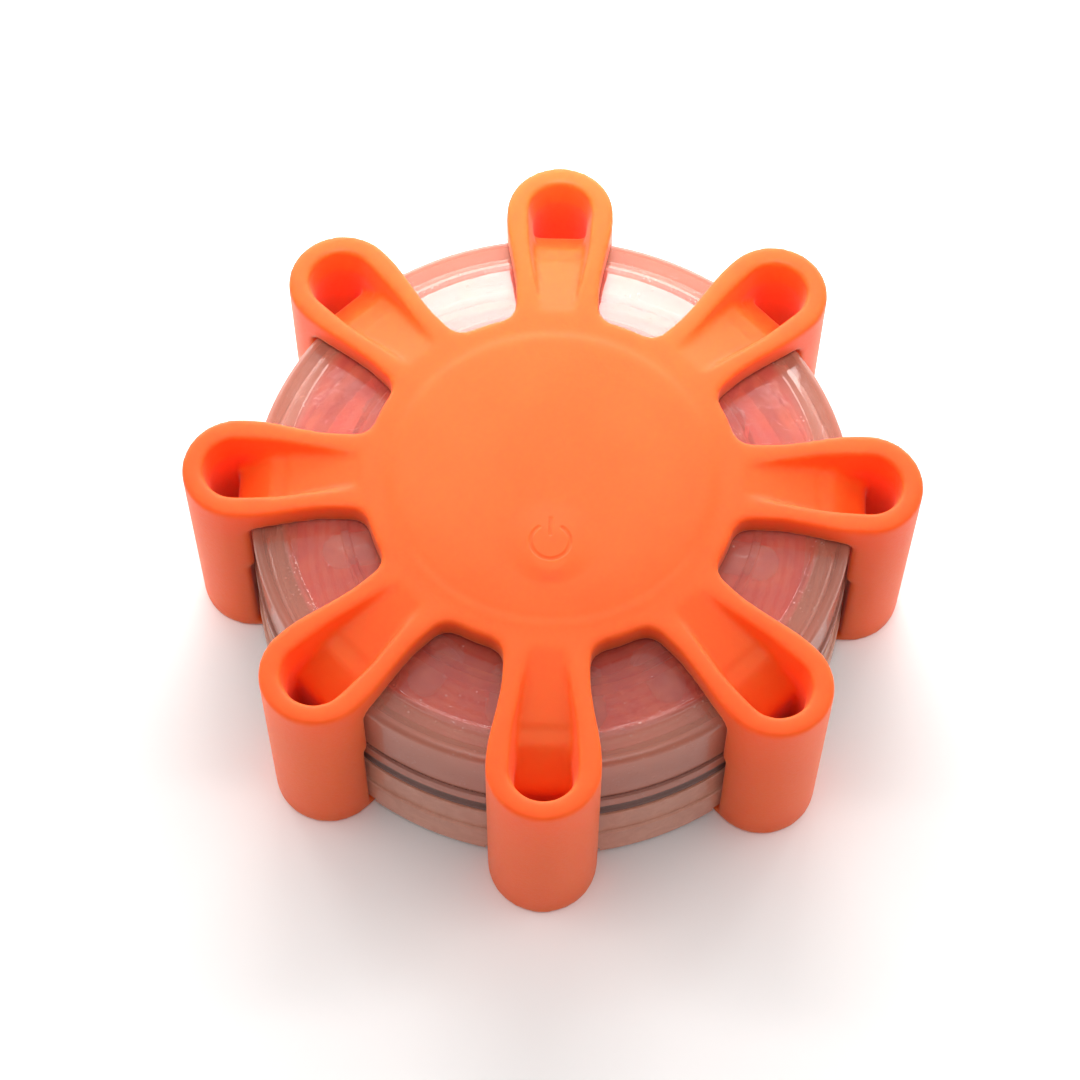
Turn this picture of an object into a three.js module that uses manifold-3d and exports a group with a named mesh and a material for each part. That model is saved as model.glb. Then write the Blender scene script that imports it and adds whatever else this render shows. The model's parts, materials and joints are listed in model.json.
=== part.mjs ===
// LED safety flare: a clear disc lamp in an eight-armed rubber bumper.
// Millimetres, +Z up. Origin: centre of the footprint on the floor plane; the power button
// is on the -Y side. R_ is a radius, Z_ a height, _HW a half width. Cutters overshoot the
// faces they open.
import * as THREE from 'three';
import { mergeVertices } from 'three/addons/utils/BufferGeometryUtils.js';
import Module from 'manifold-3d';

const wasm = await Module();
wasm.setup();

const rad = (degrees) => degrees * Math.PI / 180;

// ---------------------------------------------------------------- shared dimensions
const ARMS = 8;                 // one arm points to -Y
const GAP = 0.3;                // clearance between neighbouring pieces
const Z_RIM = 35.4;             // top of the arm rims

const Z_BASE = 0.6;             // underside of the base housing
const R_LIP = 43.8;             // base lip
const Z_FLANGE0 = 16.8, Z_FLANGE1 = 19.2;           // lens flange
const R_LENS = 43.1, Z_LENS = 30.8;
const R_SHOULDER = 38.3;        // where the flat top of the lens turns into its shoulder
const SCALLOP_HW = 6.0;

const R_BOSS_CIRCLE = 34.3;     // housing screws, on the diagonals
const R_BOSS = 3.2, R_SCREW_HOLE = 1.5;

const BUTTON = [0, -11];        // power button centre
const R_BUTTON = 7.2, Z_BUTTON_FLANGE = 33.3;

const Z_BOARD0 = 16.8, Z_BOARD1 = 18.2;
const Z_PARTS = Z_BOARD1 + 0.05;                    // underside of the parts on the board

const DOOR = [0, -1.5];         // centre of the battery compartment
const DOOR_Y = DOOR[1];
const DOOR_HX = 28, DOOR_HY = 18.8, DOOR_CORNER = 3;
const EAR_X = 30.5, R_EAR = 4.0;                    // round ears that take the door screws
const R_MAGNET = 8.0;

const HOOK_ANGLE = rad(112.5);  // direction of the hook well
const R_PIVOT = 39.2, Z_PIVOT = 1.9;

const CELL_PITCH = 10.9, Z_CELL = 9.25;
const CELL_Y = [DOOR_Y + CELL_PITCH, DOOR_Y, DOOR_Y - CELL_PITCH];
const CELL_PLUS = [1, -1, 1];   // X side of each cell's positive end
const CONTACT_X = 24.6;         // inner faces of the contacts
const TERMINALS = [[1, 0], [-1, 2]];                // [X side, cell]: positive, negative

const SIDES = [1, -1];
const ARM_ANGLES = Array.from({ length: ARMS }, (_, i) => rad(360 / ARMS * i));
const DIAGONALS = [45, 135, 225, 315].map(rad);

// ---------------------------------------------------------------- solids and meshes
const vectors = (points) => points.map(([x, y]) => new THREE.Vector2(x, y));

// closed triangle mesh -> solid, with the faces turned outward
function solid(source) {
  const bare = source.clone();
  for (const key of Object.keys(bare.attributes)) {
    if (key !== 'position') bare.deleteAttribute(key);
  }
  const merged = mergeVertices(bare, 1e-4);
  const index = merged.index.array;
  const pos = merged.attributes.position.array;
  const corner = (vertex) => new THREE.Vector3().fromArray(pos, vertex * 3);
  const triangles = [];
  let volume = 0;
  for (let i = 0; i < index.length; i += 3) {
    const [a, b, c] = index.slice(i, i + 3);
    if (a === b || b === c || c === a) continue;
    triangles.push([a, b, c]);
    volume += corner(a).dot(corner(b).cross(corner(c)));
  }
  const outward = volume < 0 ? triangles.map(([a, b, c]) => [a, c, b]) : triangles;
  return new wasm.Manifold(new wasm.Mesh({
    numProp: 3,
    vertProperties: Float32Array.from(pos),
    triVerts: Uint32Array.from(outward.flat()),
  }));
}

function geometry(shape) {
  const mesh = shape.getMesh();
  const result = new THREE.BufferGeometry();
  const positions = Float32Array.from(mesh.vertProperties);
  result.setAttribute('position', new THREE.BufferAttribute(positions, 3));
  result.setIndex(new THREE.BufferAttribute(Uint32Array.from(mesh.triVerts), 1));
  result.computeVertexNormals();
  return result;
}

const join = (...shapes) => shapes.reduce((a, b) => a.add(b));
const cut = (shape, ...cutters) => cutters.reduce((a, b) => a.subtract(b), shape);

// ---------------------------------------------------------------- outlines
const arc = ([x, y], radius, start, end, steps) => Array.from({ length: steps + 1 }, (_, i) => {
  const angle = start + (end - start) * i / steps;
  return [x + radius * Math.cos(angle), y + radius * Math.sin(angle)];
});
const openRing = (centre, outer, inner, start, end, steps) => [
  ...arc(centre, outer, start, end, steps),
  ...arc(centre, inner, start, end, steps).reverse(),
];
// rounded rectangle about the door centre
const doorRect = (hx, hy, corner) => [[1, 1], [-1, 1], [-1, -1], [1, -1]].flatMap(([sx, sy], i) =>
  arc([sx * (hx - corner), DOOR_Y + sy * (hy - corner)], corner,
    rad(90 * i), rad(90 * i + 90), 4));

// ---------------------------------------------------------------- basic shapes
const lathe = (profile, segments) => new THREE.LatheGeometry(vectors(profile), segments);

// solid of revolution about a vertical axis, from [radius, z] pairs
const turned = (profile, segments, [x, y] = [0, 0]) =>
  solid(lathe(profile, segments).rotateX(Math.PI / 2).translate(x, y, 0));
const ring = (profile, segments) => turned([...profile, profile[0]], segments);
const rod = (radius, z0, z1, segments, centre) =>
  turned([[0, z0], [radius, z0], [radius, z1], [0, z1]], segments, centre);

// [x, y] outline extruded between two heights, edges optionally chamfered by `ease`
function prism(points, z0, z1, ease = 0) {
  return new THREE.ExtrudeGeometry(new THREE.Shape(vectors(points)), {
    depth: z1 - z0 - 2 * ease,
    steps: 1,
    bevelEnabled: ease > 0,
    bevelThickness: ease,
    bevelSize: ease,
    bevelOffset: -ease,
    bevelSegments: 1,
  }).translate(0, 0, z0 + ease);
}
const slab = (points, z0, z1) => solid(prism(points, z0, z1));

// box between two opposite corners
const box = (from, to) => new THREE.BoxGeometry(...from.map((v, i) => Math.abs(to[i] - v)))
  .translate(...from.map((v, i) => (v + to[i]) / 2));
const block = (from, to) => solid(box(from, to));

// [radius, z] outline in the +X direction, as thick as 2 * half across it
const radialSlab = (points, half) => prism(points, -half, half).rotateX(Math.PI / 2);

function wire(path, radius, sides, steps) {
  const section = Array.from({ length: sides }, (_, i) => {
    const angle = 2 * Math.PI * i / sides;
    return [radius * Math.cos(angle), radius * Math.sin(angle)];
  });
  return solid(new THREE.ExtrudeGeometry(new THREE.Shape(vectors(section)),
    { steps, bevelEnabled: false, extrudePath: path }));
}

// ---------------------------------------------------------------- placing
const atAngle = (source, angle) => solid(source.clone().rotateZ(angle));
const atArms = (source) => ARM_ANGLES.map((angle) => atAngle(source, angle));
const BOSSES = DIAGONALS.map((angle) =>
  [R_BOSS_CIRCLE * Math.cos(angle), R_BOSS_CIRCLE * Math.sin(angle)]);
const bossRods = (radius, z0, z1, segments) =>
  BOSSES.map((centre) => rod(radius, z0, z1, segments, centre));
const earRods = (radius, z0, z1, segments) =>
  SIDES.map((side) => rod(radius, z0, z1, segments, [side * EAR_X, DOOR_Y]));

// Cutter for the eight scallops in the lens shoulder, one under each arm: everything
// outside a line falling outward, shifted by `offset` along the line's normal.
function scallops(offset, half) {
  const [down, normal] = [[0.754, -0.657], [0.657, 0.754]];     // [radius, z]
  const start = [39.2 + offset * normal[0], 30.8 + offset * normal[1]];
  const along = (s) => [start[0] + down[0] * s, start[1] + down[1] * s];
  const [top, bottom] = [along(-4), along(9)];
  const rFar = 60;
  return atArms(radialSlab([top, bottom, [rFar, bottom[1]], [rFar, top[1]]], half));
}

// ---------------------------------------------------------------- rubber bumper
const R_TIP = 52.5;             // arm tips: 105 mm across opposite arms
const ARM_HW = 7.9;             // broad end of an arm
const NECK_HW = 6.0;            // where the arm leaves the hub
const R_HUB = 26.8;             // hub between the arms
const R_FILLET = 3.0;           // inside corner between hub and arm
const ARM_EASE = 0.8;
const R_PLATEAU = 23.4, Z_HUB = 35.8;               // raised centre disc of the hub
// [along, half width] of an arm's flank
const ARM_FLANK = [[32, 6.1], [36, 6.7], [40, 7.5], [43, ARM_HW]];

// outline of one arm in [along, across], from the middle of one window to the next
function armOutline() {
  const across = NECK_HW + R_FILLET;
  const filletCentre = [Math.sqrt((R_HUB + R_FILLET) ** 2 - across ** 2), across];
  const filletStart = Math.atan2(filletCentre[1], filletCentre[0]) + Math.PI;
  const windowMiddle = Math.PI / ARMS;
  const half = [
    [R_HUB * Math.cos(windowMiddle), R_HUB * Math.sin(windowMiddle)],
    ...arc(filletCentre, R_FILLET, filletStart, 1.5 * Math.PI, 3),
    ...ARM_FLANK,
  ];
  const tip = arc([R_TIP - ARM_HW, 0], ARM_HW, -Math.PI / 2, Math.PI / 2, 10);
  return [...half.map(([u, v]) => [u, -v]), ...tip, ...half.slice(1).reverse()];
}

const starOutline = () => ARM_ANGLES.flatMap((angle) => armOutline().map(([u, v]) => [
  u * Math.cos(angle) - v * Math.sin(angle),
  u * Math.sin(angle) + v * Math.cos(angle),
]));

// room taken by the lamp body inside the bumper, with clearance
function lampSpace() {
  const profile = [
    [0, -1], [40.8, -1], [40.8, 1.6], [R_LIP + GAP, 1.6], [R_LIP + GAP, 19.5],
    [R_LENS + GAP, 19.8], [R_LENS + GAP, 29.4], [43.1, 30.05], [42.4, 30.45],
    [R_SHOULDER, Z_LENS + GAP], [0, Z_LENS + GAP],
  ];
  return cut(turned(profile, 64), ...scallops(GAP, SCALLOP_HW - GAP));
}

// Channel and pocket of an arm: plan outlines within a radial section. The walls flare
// from the floor outline at Z_FLARE to the rim outline at Z_RIM.
const Z_FLARE = 31.4, Z_ABOVE = 42;
// [along, half width]; the last half width is also the radius of the round end
const GROOVE_FLOOR = [[27.0, 1.3], [31, 2.1], [37.5, 3.3], [40, 3.6], [44.85, 4.1]];
const GROOVE_RIM = [[26.4, 2.7], [31, 3.2], [37.5, 4.35], [40, 4.6], [44.85, 4.85]];
// [radius, z]
const GROOVE_SECTION = [
  [26.2, 36.6], [27.3, 35.3], [37.4, 32.75], [37.7, 32.35], [39.3, 32.15], [40.2, 31.9],
  [44.4, 28.2], [45.1, 27.3], [45.2, 26.4], [45.2, 3.6], [51, 3.6], [51, 41], [26.2, 41],
];

function grooveOutline(stations) {
  const [endAlong, endRadius] = stations[stations.length - 1];
  const end = arc([endAlong, 0], endRadius, -Math.PI / 2, Math.PI / 2, 10).slice(1, -1);
  return [...stations.map(([u, v]) => [u, -v]), ...end, ...stations.slice().reverse()];
}

function armGroove() {
  const floor = grooveOutline(GROOVE_FLOOR);
  const rim = grooveOutline(GROOVE_RIM);
  const flare = prism(floor, Z_FLARE, Z_RIM);
  const position = flare.attributes.position;
  // move each top vertex from its floor outline point to the matching rim point
  for (let i = 0; i < position.count; i++) {
    if (position.getZ(i) < Z_RIM - 0.01) continue;
    const distances = floor.map(([x, y]) => Math.hypot(position.getX(i) - x, position.getY(i) - y));
    position.setXY(i, ...rim[distances.indexOf(Math.min(...distances))]);
  }
  return join(solid(flare), slab(floor, 3, Z_FLARE + 0.5), slab(rim, Z_RIM - 0.01, Z_ABOVE))
    .intersect(solid(radialSlab(GROOVE_SECTION, 8)));
}

function rubberBumper() {
  const plateau = [
    [0, 33], [R_PLATEAU, 33], [R_PLATEAU, Z_HUB - 0.3], [R_PLATEAU - 0.5, Z_HUB], [0, Z_HUB],
  ];
  return cut(
    join(solid(prism(starOutline(), 0, Z_RIM, ARM_EASE)), turned(plateau, 48)),
    lampSpace(),
    ...atArms(geometry(armGroove())),
    rod(R_BUTTON + GAP, 30, 40, 28, BUTTON),
    rod(9.1, 30, Z_BUTTON_FLANGE + GAP, 28, BUTTON));
}

// ---------------------------------------------------------------- power button
const BUTTON_PROFILE = [        // [radius, z]: stem, flange, domed cap
  [0, 22.4], [2.5, 22.4], [2.5, 32.2], [8.7, 32.2], [8.7, Z_BUTTON_FLANGE],
  [R_BUTTON, Z_BUTTON_FLANGE], [R_BUTTON, 35.75], [R_BUTTON - 0.25, 35.95],
  [5.4, 36.22], [3, 36.36], [0, 36.4],
];

// engraved with a power symbol: an open circle with a bar
function powerButton() {
  const [x, y] = BUTTON;
  const zEngraved = 35.95, zOver = 38, barHw = 0.28;
  return cut(turned(BUTTON_PROFILE, 28, BUTTON),
    slab(openRing(BUTTON, 3.0, 2.45, rad(128), rad(412), 14), zEngraved, zOver),
    block([x - barHw, y + 0.6, zEngraved], [x + barHw, y + 4.0, zOver]));
}

// ---------------------------------------------------------------- lens
const LENS_WALL = 1.9;
const LENS_PROFILE = [          // [radius, z]: flange, wall, shoulder, flat top
  [0, Z_FLANGE0], [43.5, Z_FLANGE0], [43.5, Z_FLANGE1 - 0.2], [R_LENS, Z_FLANGE1],
  [R_LENS, 29.3], [42.9, 29.8], [42.3, 30.15], [R_SHOULDER, Z_LENS], [0, Z_LENS],
];

function topLens() {
  const zRoof = Z_LENS - LENS_WALL, rInner = R_LENS - LENS_WALL;
  const zSunk = zRoof + 0.3;    // collar and bosses reach into the roof
  const cavity = cut(turned([[0, 16], [rInner, 16], [rInner, 27.6], [40.6, 28.4],
    [39.4, zRoof], [0, zRoof]], 64), ...scallops(-1.7, SCALLOP_HW + 1.6));
  const shell = cut(turned(LENS_PROFILE, 64), ...scallops(0, SCALLOP_HW), cavity);
  const collar = ring([[29.4, 25.2], [30.6, 25.2], [30.6, zSunk], [29.4, zSunk]], 48);
  return cut(join(shell, collar, ...bossRods(R_BOSS, 18.4, zSunk, 14)),
    ...bossRods(R_SCREW_HOLE, 17, 27.2, 10),
    rod(3.0, 26, 33, 20, BUTTON));
}

// ---------------------------------------------------------------- seal ring
const Z_SEAL0 = 13.3, Z_SEAL1 = 16.7, R_SEAL = 43.2, SEAL_EASE = 0.4;
const sealRing = () => ring([
  [41.4, Z_SEAL0], [42.9, Z_SEAL0], [R_SEAL, Z_SEAL0 + SEAL_EASE],
  [R_SEAL, Z_SEAL1 - SEAL_EASE], [42.9, Z_SEAL1], [41.4, Z_SEAL1],
], 64);

// ---------------------------------------------------------------- base housing
const Z_LIP = 7.4, Z_FLOOR = 3.0;
const R_WALL = 43.4, Z_SHELF = 13.2;                // outer wall, seal shelf
const R_SPIGOT = 41.3, R_INSIDE = 39.6, Z_SPIGOT = 16.4;
const BASE_PROFILE = [          // [radius, z]
  [0, Z_BASE], [R_LIP - 0.6, Z_BASE], [R_LIP, Z_BASE + 0.6], [R_LIP, Z_LIP - 0.3],
  [R_WALL, Z_LIP], [R_WALL, Z_SHELF], [R_SPIGOT, Z_SHELF], [R_SPIGOT, Z_SPIGOT],
  [R_INSIDE, Z_SPIGOT], [R_INSIDE, Z_FLOOR], [0, Z_FLOOR],
];

// door plate with its ears; built one unit high and stretched, so that the tops match
function doorPlate(grow, z0, z1) {
  const unit = join(
    slab(doorRect(DOOR_HX + grow, DOOR_HY + grow, DOOR_CORNER), 0, 1),
    ...earRods(R_EAR + grow, 0, 1, 28));
  return solid(geometry(unit).scale(1, 1, z1 - z0).translate(0, 0, z0));
}

// cylinder on the hook's pivot axis, before turning to HOOK_ANGLE
const onPivot = (radius, length, segments) =>
  new THREE.CylinderGeometry(radius, radius, length, segments).translate(R_PIVOT, 0, Z_PIVOT);

function baseHousing() {
  const zRoot = 2, zCollar = 4.1;
  const body = join(turned(BASE_PROFILE, 64),
    slab(doorRect(DOOR_HX + 1.0, DOOR_HY + 1.0, DOOR_CORNER), zRoot, zCollar),
    ...earRods(3.0, zRoot, 9.2, 14),                // door screw bosses
    ...earRods(R_EAR + 0.9, zRoot, zCollar, 18),
    ...bossRods(R_BOSS, zRoot, 16.6, 14),
    atAngle(box([22.2, -9.4, 1], [39.9, 9.4, 4.8]), HOOK_ANGLE));
  return cut(body,
    doorPlate(GAP, 0, 2.8),
    slab(doorRect(24.7, 16.45, 1.5), 0, 6),         // battery opening
    ...earRods(1.15, 0, 8.6, 10),
    ...bossRods(R_SCREW_HOLE, 0, 18, 10),
    ...bossRods(2.8, 0, 3.2, 14),                   // screw head recesses
    // hook well, open at the rim, with its pin bore
    atAngle(box([23.3, -7.2, 0], [46, 7.2, 3.5]), HOOK_ANGLE),
    atAngle(onPivot(0.9, 18.2, 12), HOOK_ANGLE),
    // recesses for the toes of the bumper arms
    ...atArms(box([39.3, -8.3, 0], [50, 8.3, 1.9])));
}

// ---------------------------------------------------------------- battery door
function batteryDoor() {
  return cut(
    join(doorPlate(0, Z_BASE, 2.2), rod(R_MAGNET + 1.6, 1.5, 3.4, 28, DOOR)),
    rod(R_MAGNET + 0.2, 0, 2.4, 28, DOOR),
    ...earRods(1.25, 0, 5, 10),
    ...earRods(2.3, 0, 1.7, 14));
}

const doorGasket = () =>
  cut(slab(doorRect(27.5, 18.3, 2.6), 2.25, 2.75), slab(doorRect(25.2, 16.9, 1.8), 2, 3));

function magnet() {
  const ease = 0.25, zTop = 2.2;
  return turned([[0, 0], [R_MAGNET - ease, 0], [R_MAGNET, ease], [R_MAGNET, zTop], [0, zTop]],
    32, DOOR);
}

// ---------------------------------------------------------------- screws
const DOOR_SCREW = { rHead: 2.0, zHead0: 0.7, zHead1: 1.65, rShank: 0.85, zTip: 8.2 };
const HOUSING_SCREW = { rHead: 2.5, zHead0: 1.2, zHead1: 3.1, rShank: 1.2, zTip: 25.5 };

// pan-head screw pointing up, cross recess in the head underneath
function screw([x, y], { rHead, zHead0, zHead1, rShank, zTip }) {
  const body = turned([[0, zHead0], [rHead * 0.72, zHead0], [rHead, zHead0 + 0.4],
    [rHead, zHead1], [rShank, zHead1], [rShank, zTip - 0.8], [rShank * 0.4, zTip], [0, zTip]],
  12, [x, y]);
  const narrow = rHead * 0.16, long = rHead * 0.62;
  const zBelow = zHead0 - 1, zSlot = zHead0 + (zHead1 - zHead0) * 0.5;
  const slot = (hx, hy) => block([x - hx, y - hy, zBelow], [x + hx, y + hy, zSlot]);
  return cut(body, slot(narrow, long), slot(long, narrow));
}

// ---------------------------------------------------------------- hanging hook
// folded into its well; the loop is open on one flank, for slipping over a wire
function hangingHook() {
  const loopX = 29.9, thickness = 2.2, shankHw = 3.2;
  const z0 = Z_PIVOT - thickness / 2, z1 = Z_PIVOT + thickness / 2;
  const hook = cut(
    join(
      slab(openRing([loopX, 0], 5.9, 3.7, rad(-62), rad(196), 16), z0, z1),
      block([loopX + 4.5, -shankHw, z0], [R_PIVOT, shankHw, z1]),
      solid(onPivot(1.3, 13.2, 14))),
    solid(onPivot(0.95, 16, 10)));
  return atAngle(geometry(hook), HOOK_ANGLE);
}

const hookPin = () => atAngle(onPivot(0.6, 17.6, 10), HOOK_ANGLE);

// ---------------------------------------------------------------- batteries
const RIB_SECTION = [[-1.5, 15.0], [-0.5, 12.7], [0.5, 12.7], [1.5, 15.0]];     // [y, z]

// low rib under the holder's roof, between two cells, running along X
const rib = (x, y) => solid(prism(RIB_SECTION, x - 1.5, x + 1.5)
  .rotateX(Math.PI / 2).rotateZ(Math.PI / 2).translate(0, y, 0));

function batteryHolder() {
  const shell = cut(
    block([-26.5, DOOR_Y - 17.8, 4.4], [26.5, DOOR_Y + 17.8, 15.9]),
    block([-25.3, DOOR_Y - 16.6, 3], [25.3, DOOR_Y + 16.6, 14.8]));
  const ribs = SIDES.flatMap((sideY) =>
    [-12, 12].map((x) => rib(x, DOOR_Y + sideY * CELL_PITCH / 2)));
  const tabSlots = TERMINALS.map(([side, i]) =>
    block([side * 25, CELL_Y[i] - 1.4, 12.4], [side * 28, CELL_Y[i] + 1.4, 13.6]));
  return cut(join(shell, ...ribs), ...tabSlots);
}

function batteryCell(i) {
  const radius = 5.2, ease = 0.4, shoulder = -0.9, bottom = shoulder - 43.6;
  const profile = [             // [radius, along], positive tip at 0
    [0, bottom], [3.2, bottom], [radius - ease, bottom], [radius, bottom + ease],
    [radius, shoulder - ease], [radius - ease, shoulder], [1.9, shoulder],
    [1.9, -0.15], [1.6, 0], [0, 0],
  ];
  const side = CELL_PLUS[i];
  return solid(lathe(profile, 16)
    .rotateZ(side > 0 ? -Math.PI / 2 : Math.PI / 2)
    .translate(side * (CONTACT_X - 0.05), CELL_Y[i], Z_CELL));
}

// upright plate spanning one or two cells; a single-cell plate has a tab for its lead
function contactPlate(side, lowCell, highCell) {
  const inner = side * CONTACT_X, overlap = 3.6;
  const plate = block([inner, CELL_Y[lowCell] - overlap, 5.0],
    [side * (CONTACT_X + 0.4), CELL_Y[highCell] + overlap, 13.4]);
  if (lowCell !== highCell) return plate;
  const y = CELL_Y[lowCell];
  return join(plate, block([inner, y - 1.0, 12.8], [side * 27.6, y + 1.0, 13.2]));
}

// conical coil, narrowing from the contact towards the cell
class Coil extends THREE.Curve {
  constructor(side, y) {
    super();
    this.side = side;
    this.y = y;
  }

  getPoint(t) {
    const turns = 3.25, length = 3.6;
    const angle = t * turns * 2 * Math.PI;
    const radius = 3.3 - 1.0 * t;
    return new THREE.Vector3(
      this.side * (CONTACT_X - 0.45 - length * t),
      this.y + radius * Math.cos(angle),
      Z_CELL + radius * Math.sin(angle));
  }
}
const contactSpring = (i) => wire(new Coil(-CELL_PLUS[i], CELL_Y[i]), 0.35, 4, 26);

// [outward x, y from the cell, z]
const LEAD_PATH = [
  [27.8, 0, 13.95], [28.6, 0.2, 14.6], [29.6, 0.6, 15.1], [30.6, 1.4, 15.6], [31.0, 2.4, 16.0],
];
function lead([side, i]) {
  const points = LEAD_PATH.map(([x, y, z]) => new THREE.Vector3(side * x, CELL_Y[i] + y, z));
  return wire(new THREE.CatmullRomCurve3(points), 0.55, 6, 8);
}

// ---------------------------------------------------------------- circuit board and parts
const circuitBoard = () =>
  cut(rod(37.2, Z_BOARD0, Z_BOARD1, 48), ...bossRods(R_SCREW_HOLE, 16, 19, 10));

// bullet LED lying on the board, dome outward, its two legs bent down to the pads
const LEDS = 16, R_LED_TIP = 33.6, LED_LENGTH = 8.6;
function sideLed() {
  const x = R_LED_TIP - LED_LENGTH, z = Z_BOARD1 + 3.0;
  const legY = 1.27, legHw = 0.25;
  const profile = [             // [radius, along]
    [0, 0], [2.85, 0], [2.85, 1.0], [2.5, 1.0], [2.5, 6.1], [2.1, 7.5], [0, LED_LENGTH],
  ];
  const bulb = solid(lathe(profile, 9).rotateZ(-Math.PI / 2).translate(x, 0, z));
  const legs = [-legY, legY].flatMap((y) => [
    block([x - 1.2, y - legHw, z - legHw], [x + 0.4, y + legHw, z + legHw]),
    block([x - 1.2, y - legHw, Z_PARTS], [x - 0.7, y + legHw, z + legHw]),
  ]);
  return join(bulb, ...legs);
}

function switchBody() {
  const [x, y] = BUTTON, half = 3;
  return cut(block([x - half, y - half, Z_PARTS], [x + half, y + half, 21.4]),
    rod(2.0, 18.9, 23, 20, BUTTON));
}

const switchPlunger = () => rod(1.7, 19.8, 22.3, 20, BUTTON);
const controllerChip = () => block([5.5, 3.0, Z_PARTS], [10.5, 7.0, Z_BOARD1 + 1.6]);
const resistor = (y) => block([-2.6, y, Z_PARTS], [0.6, y + 1.6, Z_BOARD1 + 0.65]);

function capacitor() {
  const radius = 2.5, zTop = Z_BOARD1 + 5.3, ease = 0.3;
  return turned([[0, Z_PARTS], [radius, Z_PARTS], [radius, zTop - ease],
    [radius - ease, zTop], [0, zTop]], 14, [-9, 5]);
}

// ---------------------------------------------------------------- materials
const material = (settings) => new THREE.MeshStandardMaterial(settings);
const MATERIALS = {
  rubber: material({ color: 0xff6a22, roughness: 0.55 }),
  button: material({ color: 0xff6a22, roughness: 0.5 }),
  clear: material({ color: 0xf2d9d2, roughness: 0.08, transparent: true, opacity: 0.35 }),
  base: material({ color: 0xc58f84, roughness: 0.25 }),
  black: material({ color: 0x1b1718, roughness: 0.7 }),
  darkPlastic: material({ color: 0x2a2a2c, roughness: 0.6 }),
  steel: material({ color: 0xb9bcc0, roughness: 0.3, metalness: 1 }),
  nickel: material({ color: 0xc9c6bd, roughness: 0.25, metalness: 1 }),
  board: material({ color: 0xcc6f62, roughness: 0.45 }),
  led: material({ color: 0xe8d6d2, roughness: 0.1 }),
  cellJacket: material({ color: 0x3a3f46, roughness: 0.35, metalness: 0.3 }),
  red: material({ color: 0xb3201c, roughness: 0.5 }),
  blackWire: material({ color: 0x151515, roughness: 0.5 }),
  hook: material({ color: 0x26262a, roughness: 0.5 }),
  tan: material({ color: 0xb79a6a, roughness: 0.5 }),
  magnet: material({ color: 0xc4c6c8, roughness: 0.2, metalness: 1 }),
};

// ---------------------------------------------------------------- assembly
const root = new THREE.Group();
function add(name, shape, materialName, parent = root) {
  const mesh = new THREE.Mesh(geometry(shape), MATERIALS[materialName]);
  mesh.name = name;
  parent.add(mesh);
}

add('rubber_bumper', rubberBumper(), 'rubber');
add('power_button', powerButton(), 'button');
add('top_lens', topLens(), 'clear');
add('seal_ring', sealRing(), 'black');
add('base_housing', baseHousing(), 'base');
add('battery_door', batteryDoor(), 'darkPlastic');
add('door_gasket', doorGasket(), 'black');
SIDES.forEach((side, i) =>
  add(`door_screw_${i + 1}`, screw([side * EAR_X, DOOR_Y], DOOR_SCREW), 'steel'));
BOSSES.forEach((centre, i) =>
  add(`housing_screw_${i + 1}`, screw(centre, HOUSING_SCREW), 'steel'));
add('magnet', magnet(), 'magnet');
add('hanging_hook', hangingHook(), 'hook');
add('hook_pin', hookPin(), 'steel');

add('battery_holder', batteryHolder(), 'darkPlastic');
CELL_Y.forEach((_, i) => add(`battery_cell_${i + 1}`, batteryCell(i), 'cellJacket'));
add('contact_positive', contactPlate(1, 0, 0), 'nickel');
add('contact_negative', contactPlate(-1, 2, 2), 'nickel');
add('contact_bridge_left', contactPlate(-1, 1, 0), 'nickel');
add('contact_bridge_right', contactPlate(1, 2, 1), 'nickel');
CELL_Y.forEach((_, i) => add(`contact_spring_${i + 1}`, contactSpring(i), 'nickel'));

add('circuit_board', circuitBoard(), 'board');
const leds = new THREE.Group();
root.add(leds);
const led = sideLed();
for (let i = 0; i < LEDS; i++) {
  const spoke = new THREE.Group();
  spoke.rotation.z = rad(360 / LEDS * (i + 0.5));
  leds.add(spoke);
  add(`side_led_${String(i + 1).padStart(2, '0')}`, led, 'led', spoke);
}
add('switch_body', switchBody(), 'darkPlastic');
add('switch_plunger', switchPlunger(), 'tan');
add('controller_chip', controllerChip(), 'darkPlastic');
add('capacitor', capacitor(), 'steel');
add('resistor_1', resistor(6.2), 'darkPlastic');
add('resistor_2', resistor(9.2), 'darkPlastic');
add('lead_red', lead(TERMINALS[0]), 'red');
add('lead_black', lead(TERMINALS[1]), 'blackWire');

export default root;
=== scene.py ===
# LED safety flare: a round lamp in an eight-armed rubber bumper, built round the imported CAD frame.
# The lamp's axis is +Z. The button is on top, toward -Y (the front); the battery door and the
# hanging hook are underneath. Shapes are built in millimetres and scaled to metres when finished.
import bpy, bmesh, json, math, random
from mathutils import Vector, Matrix


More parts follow.
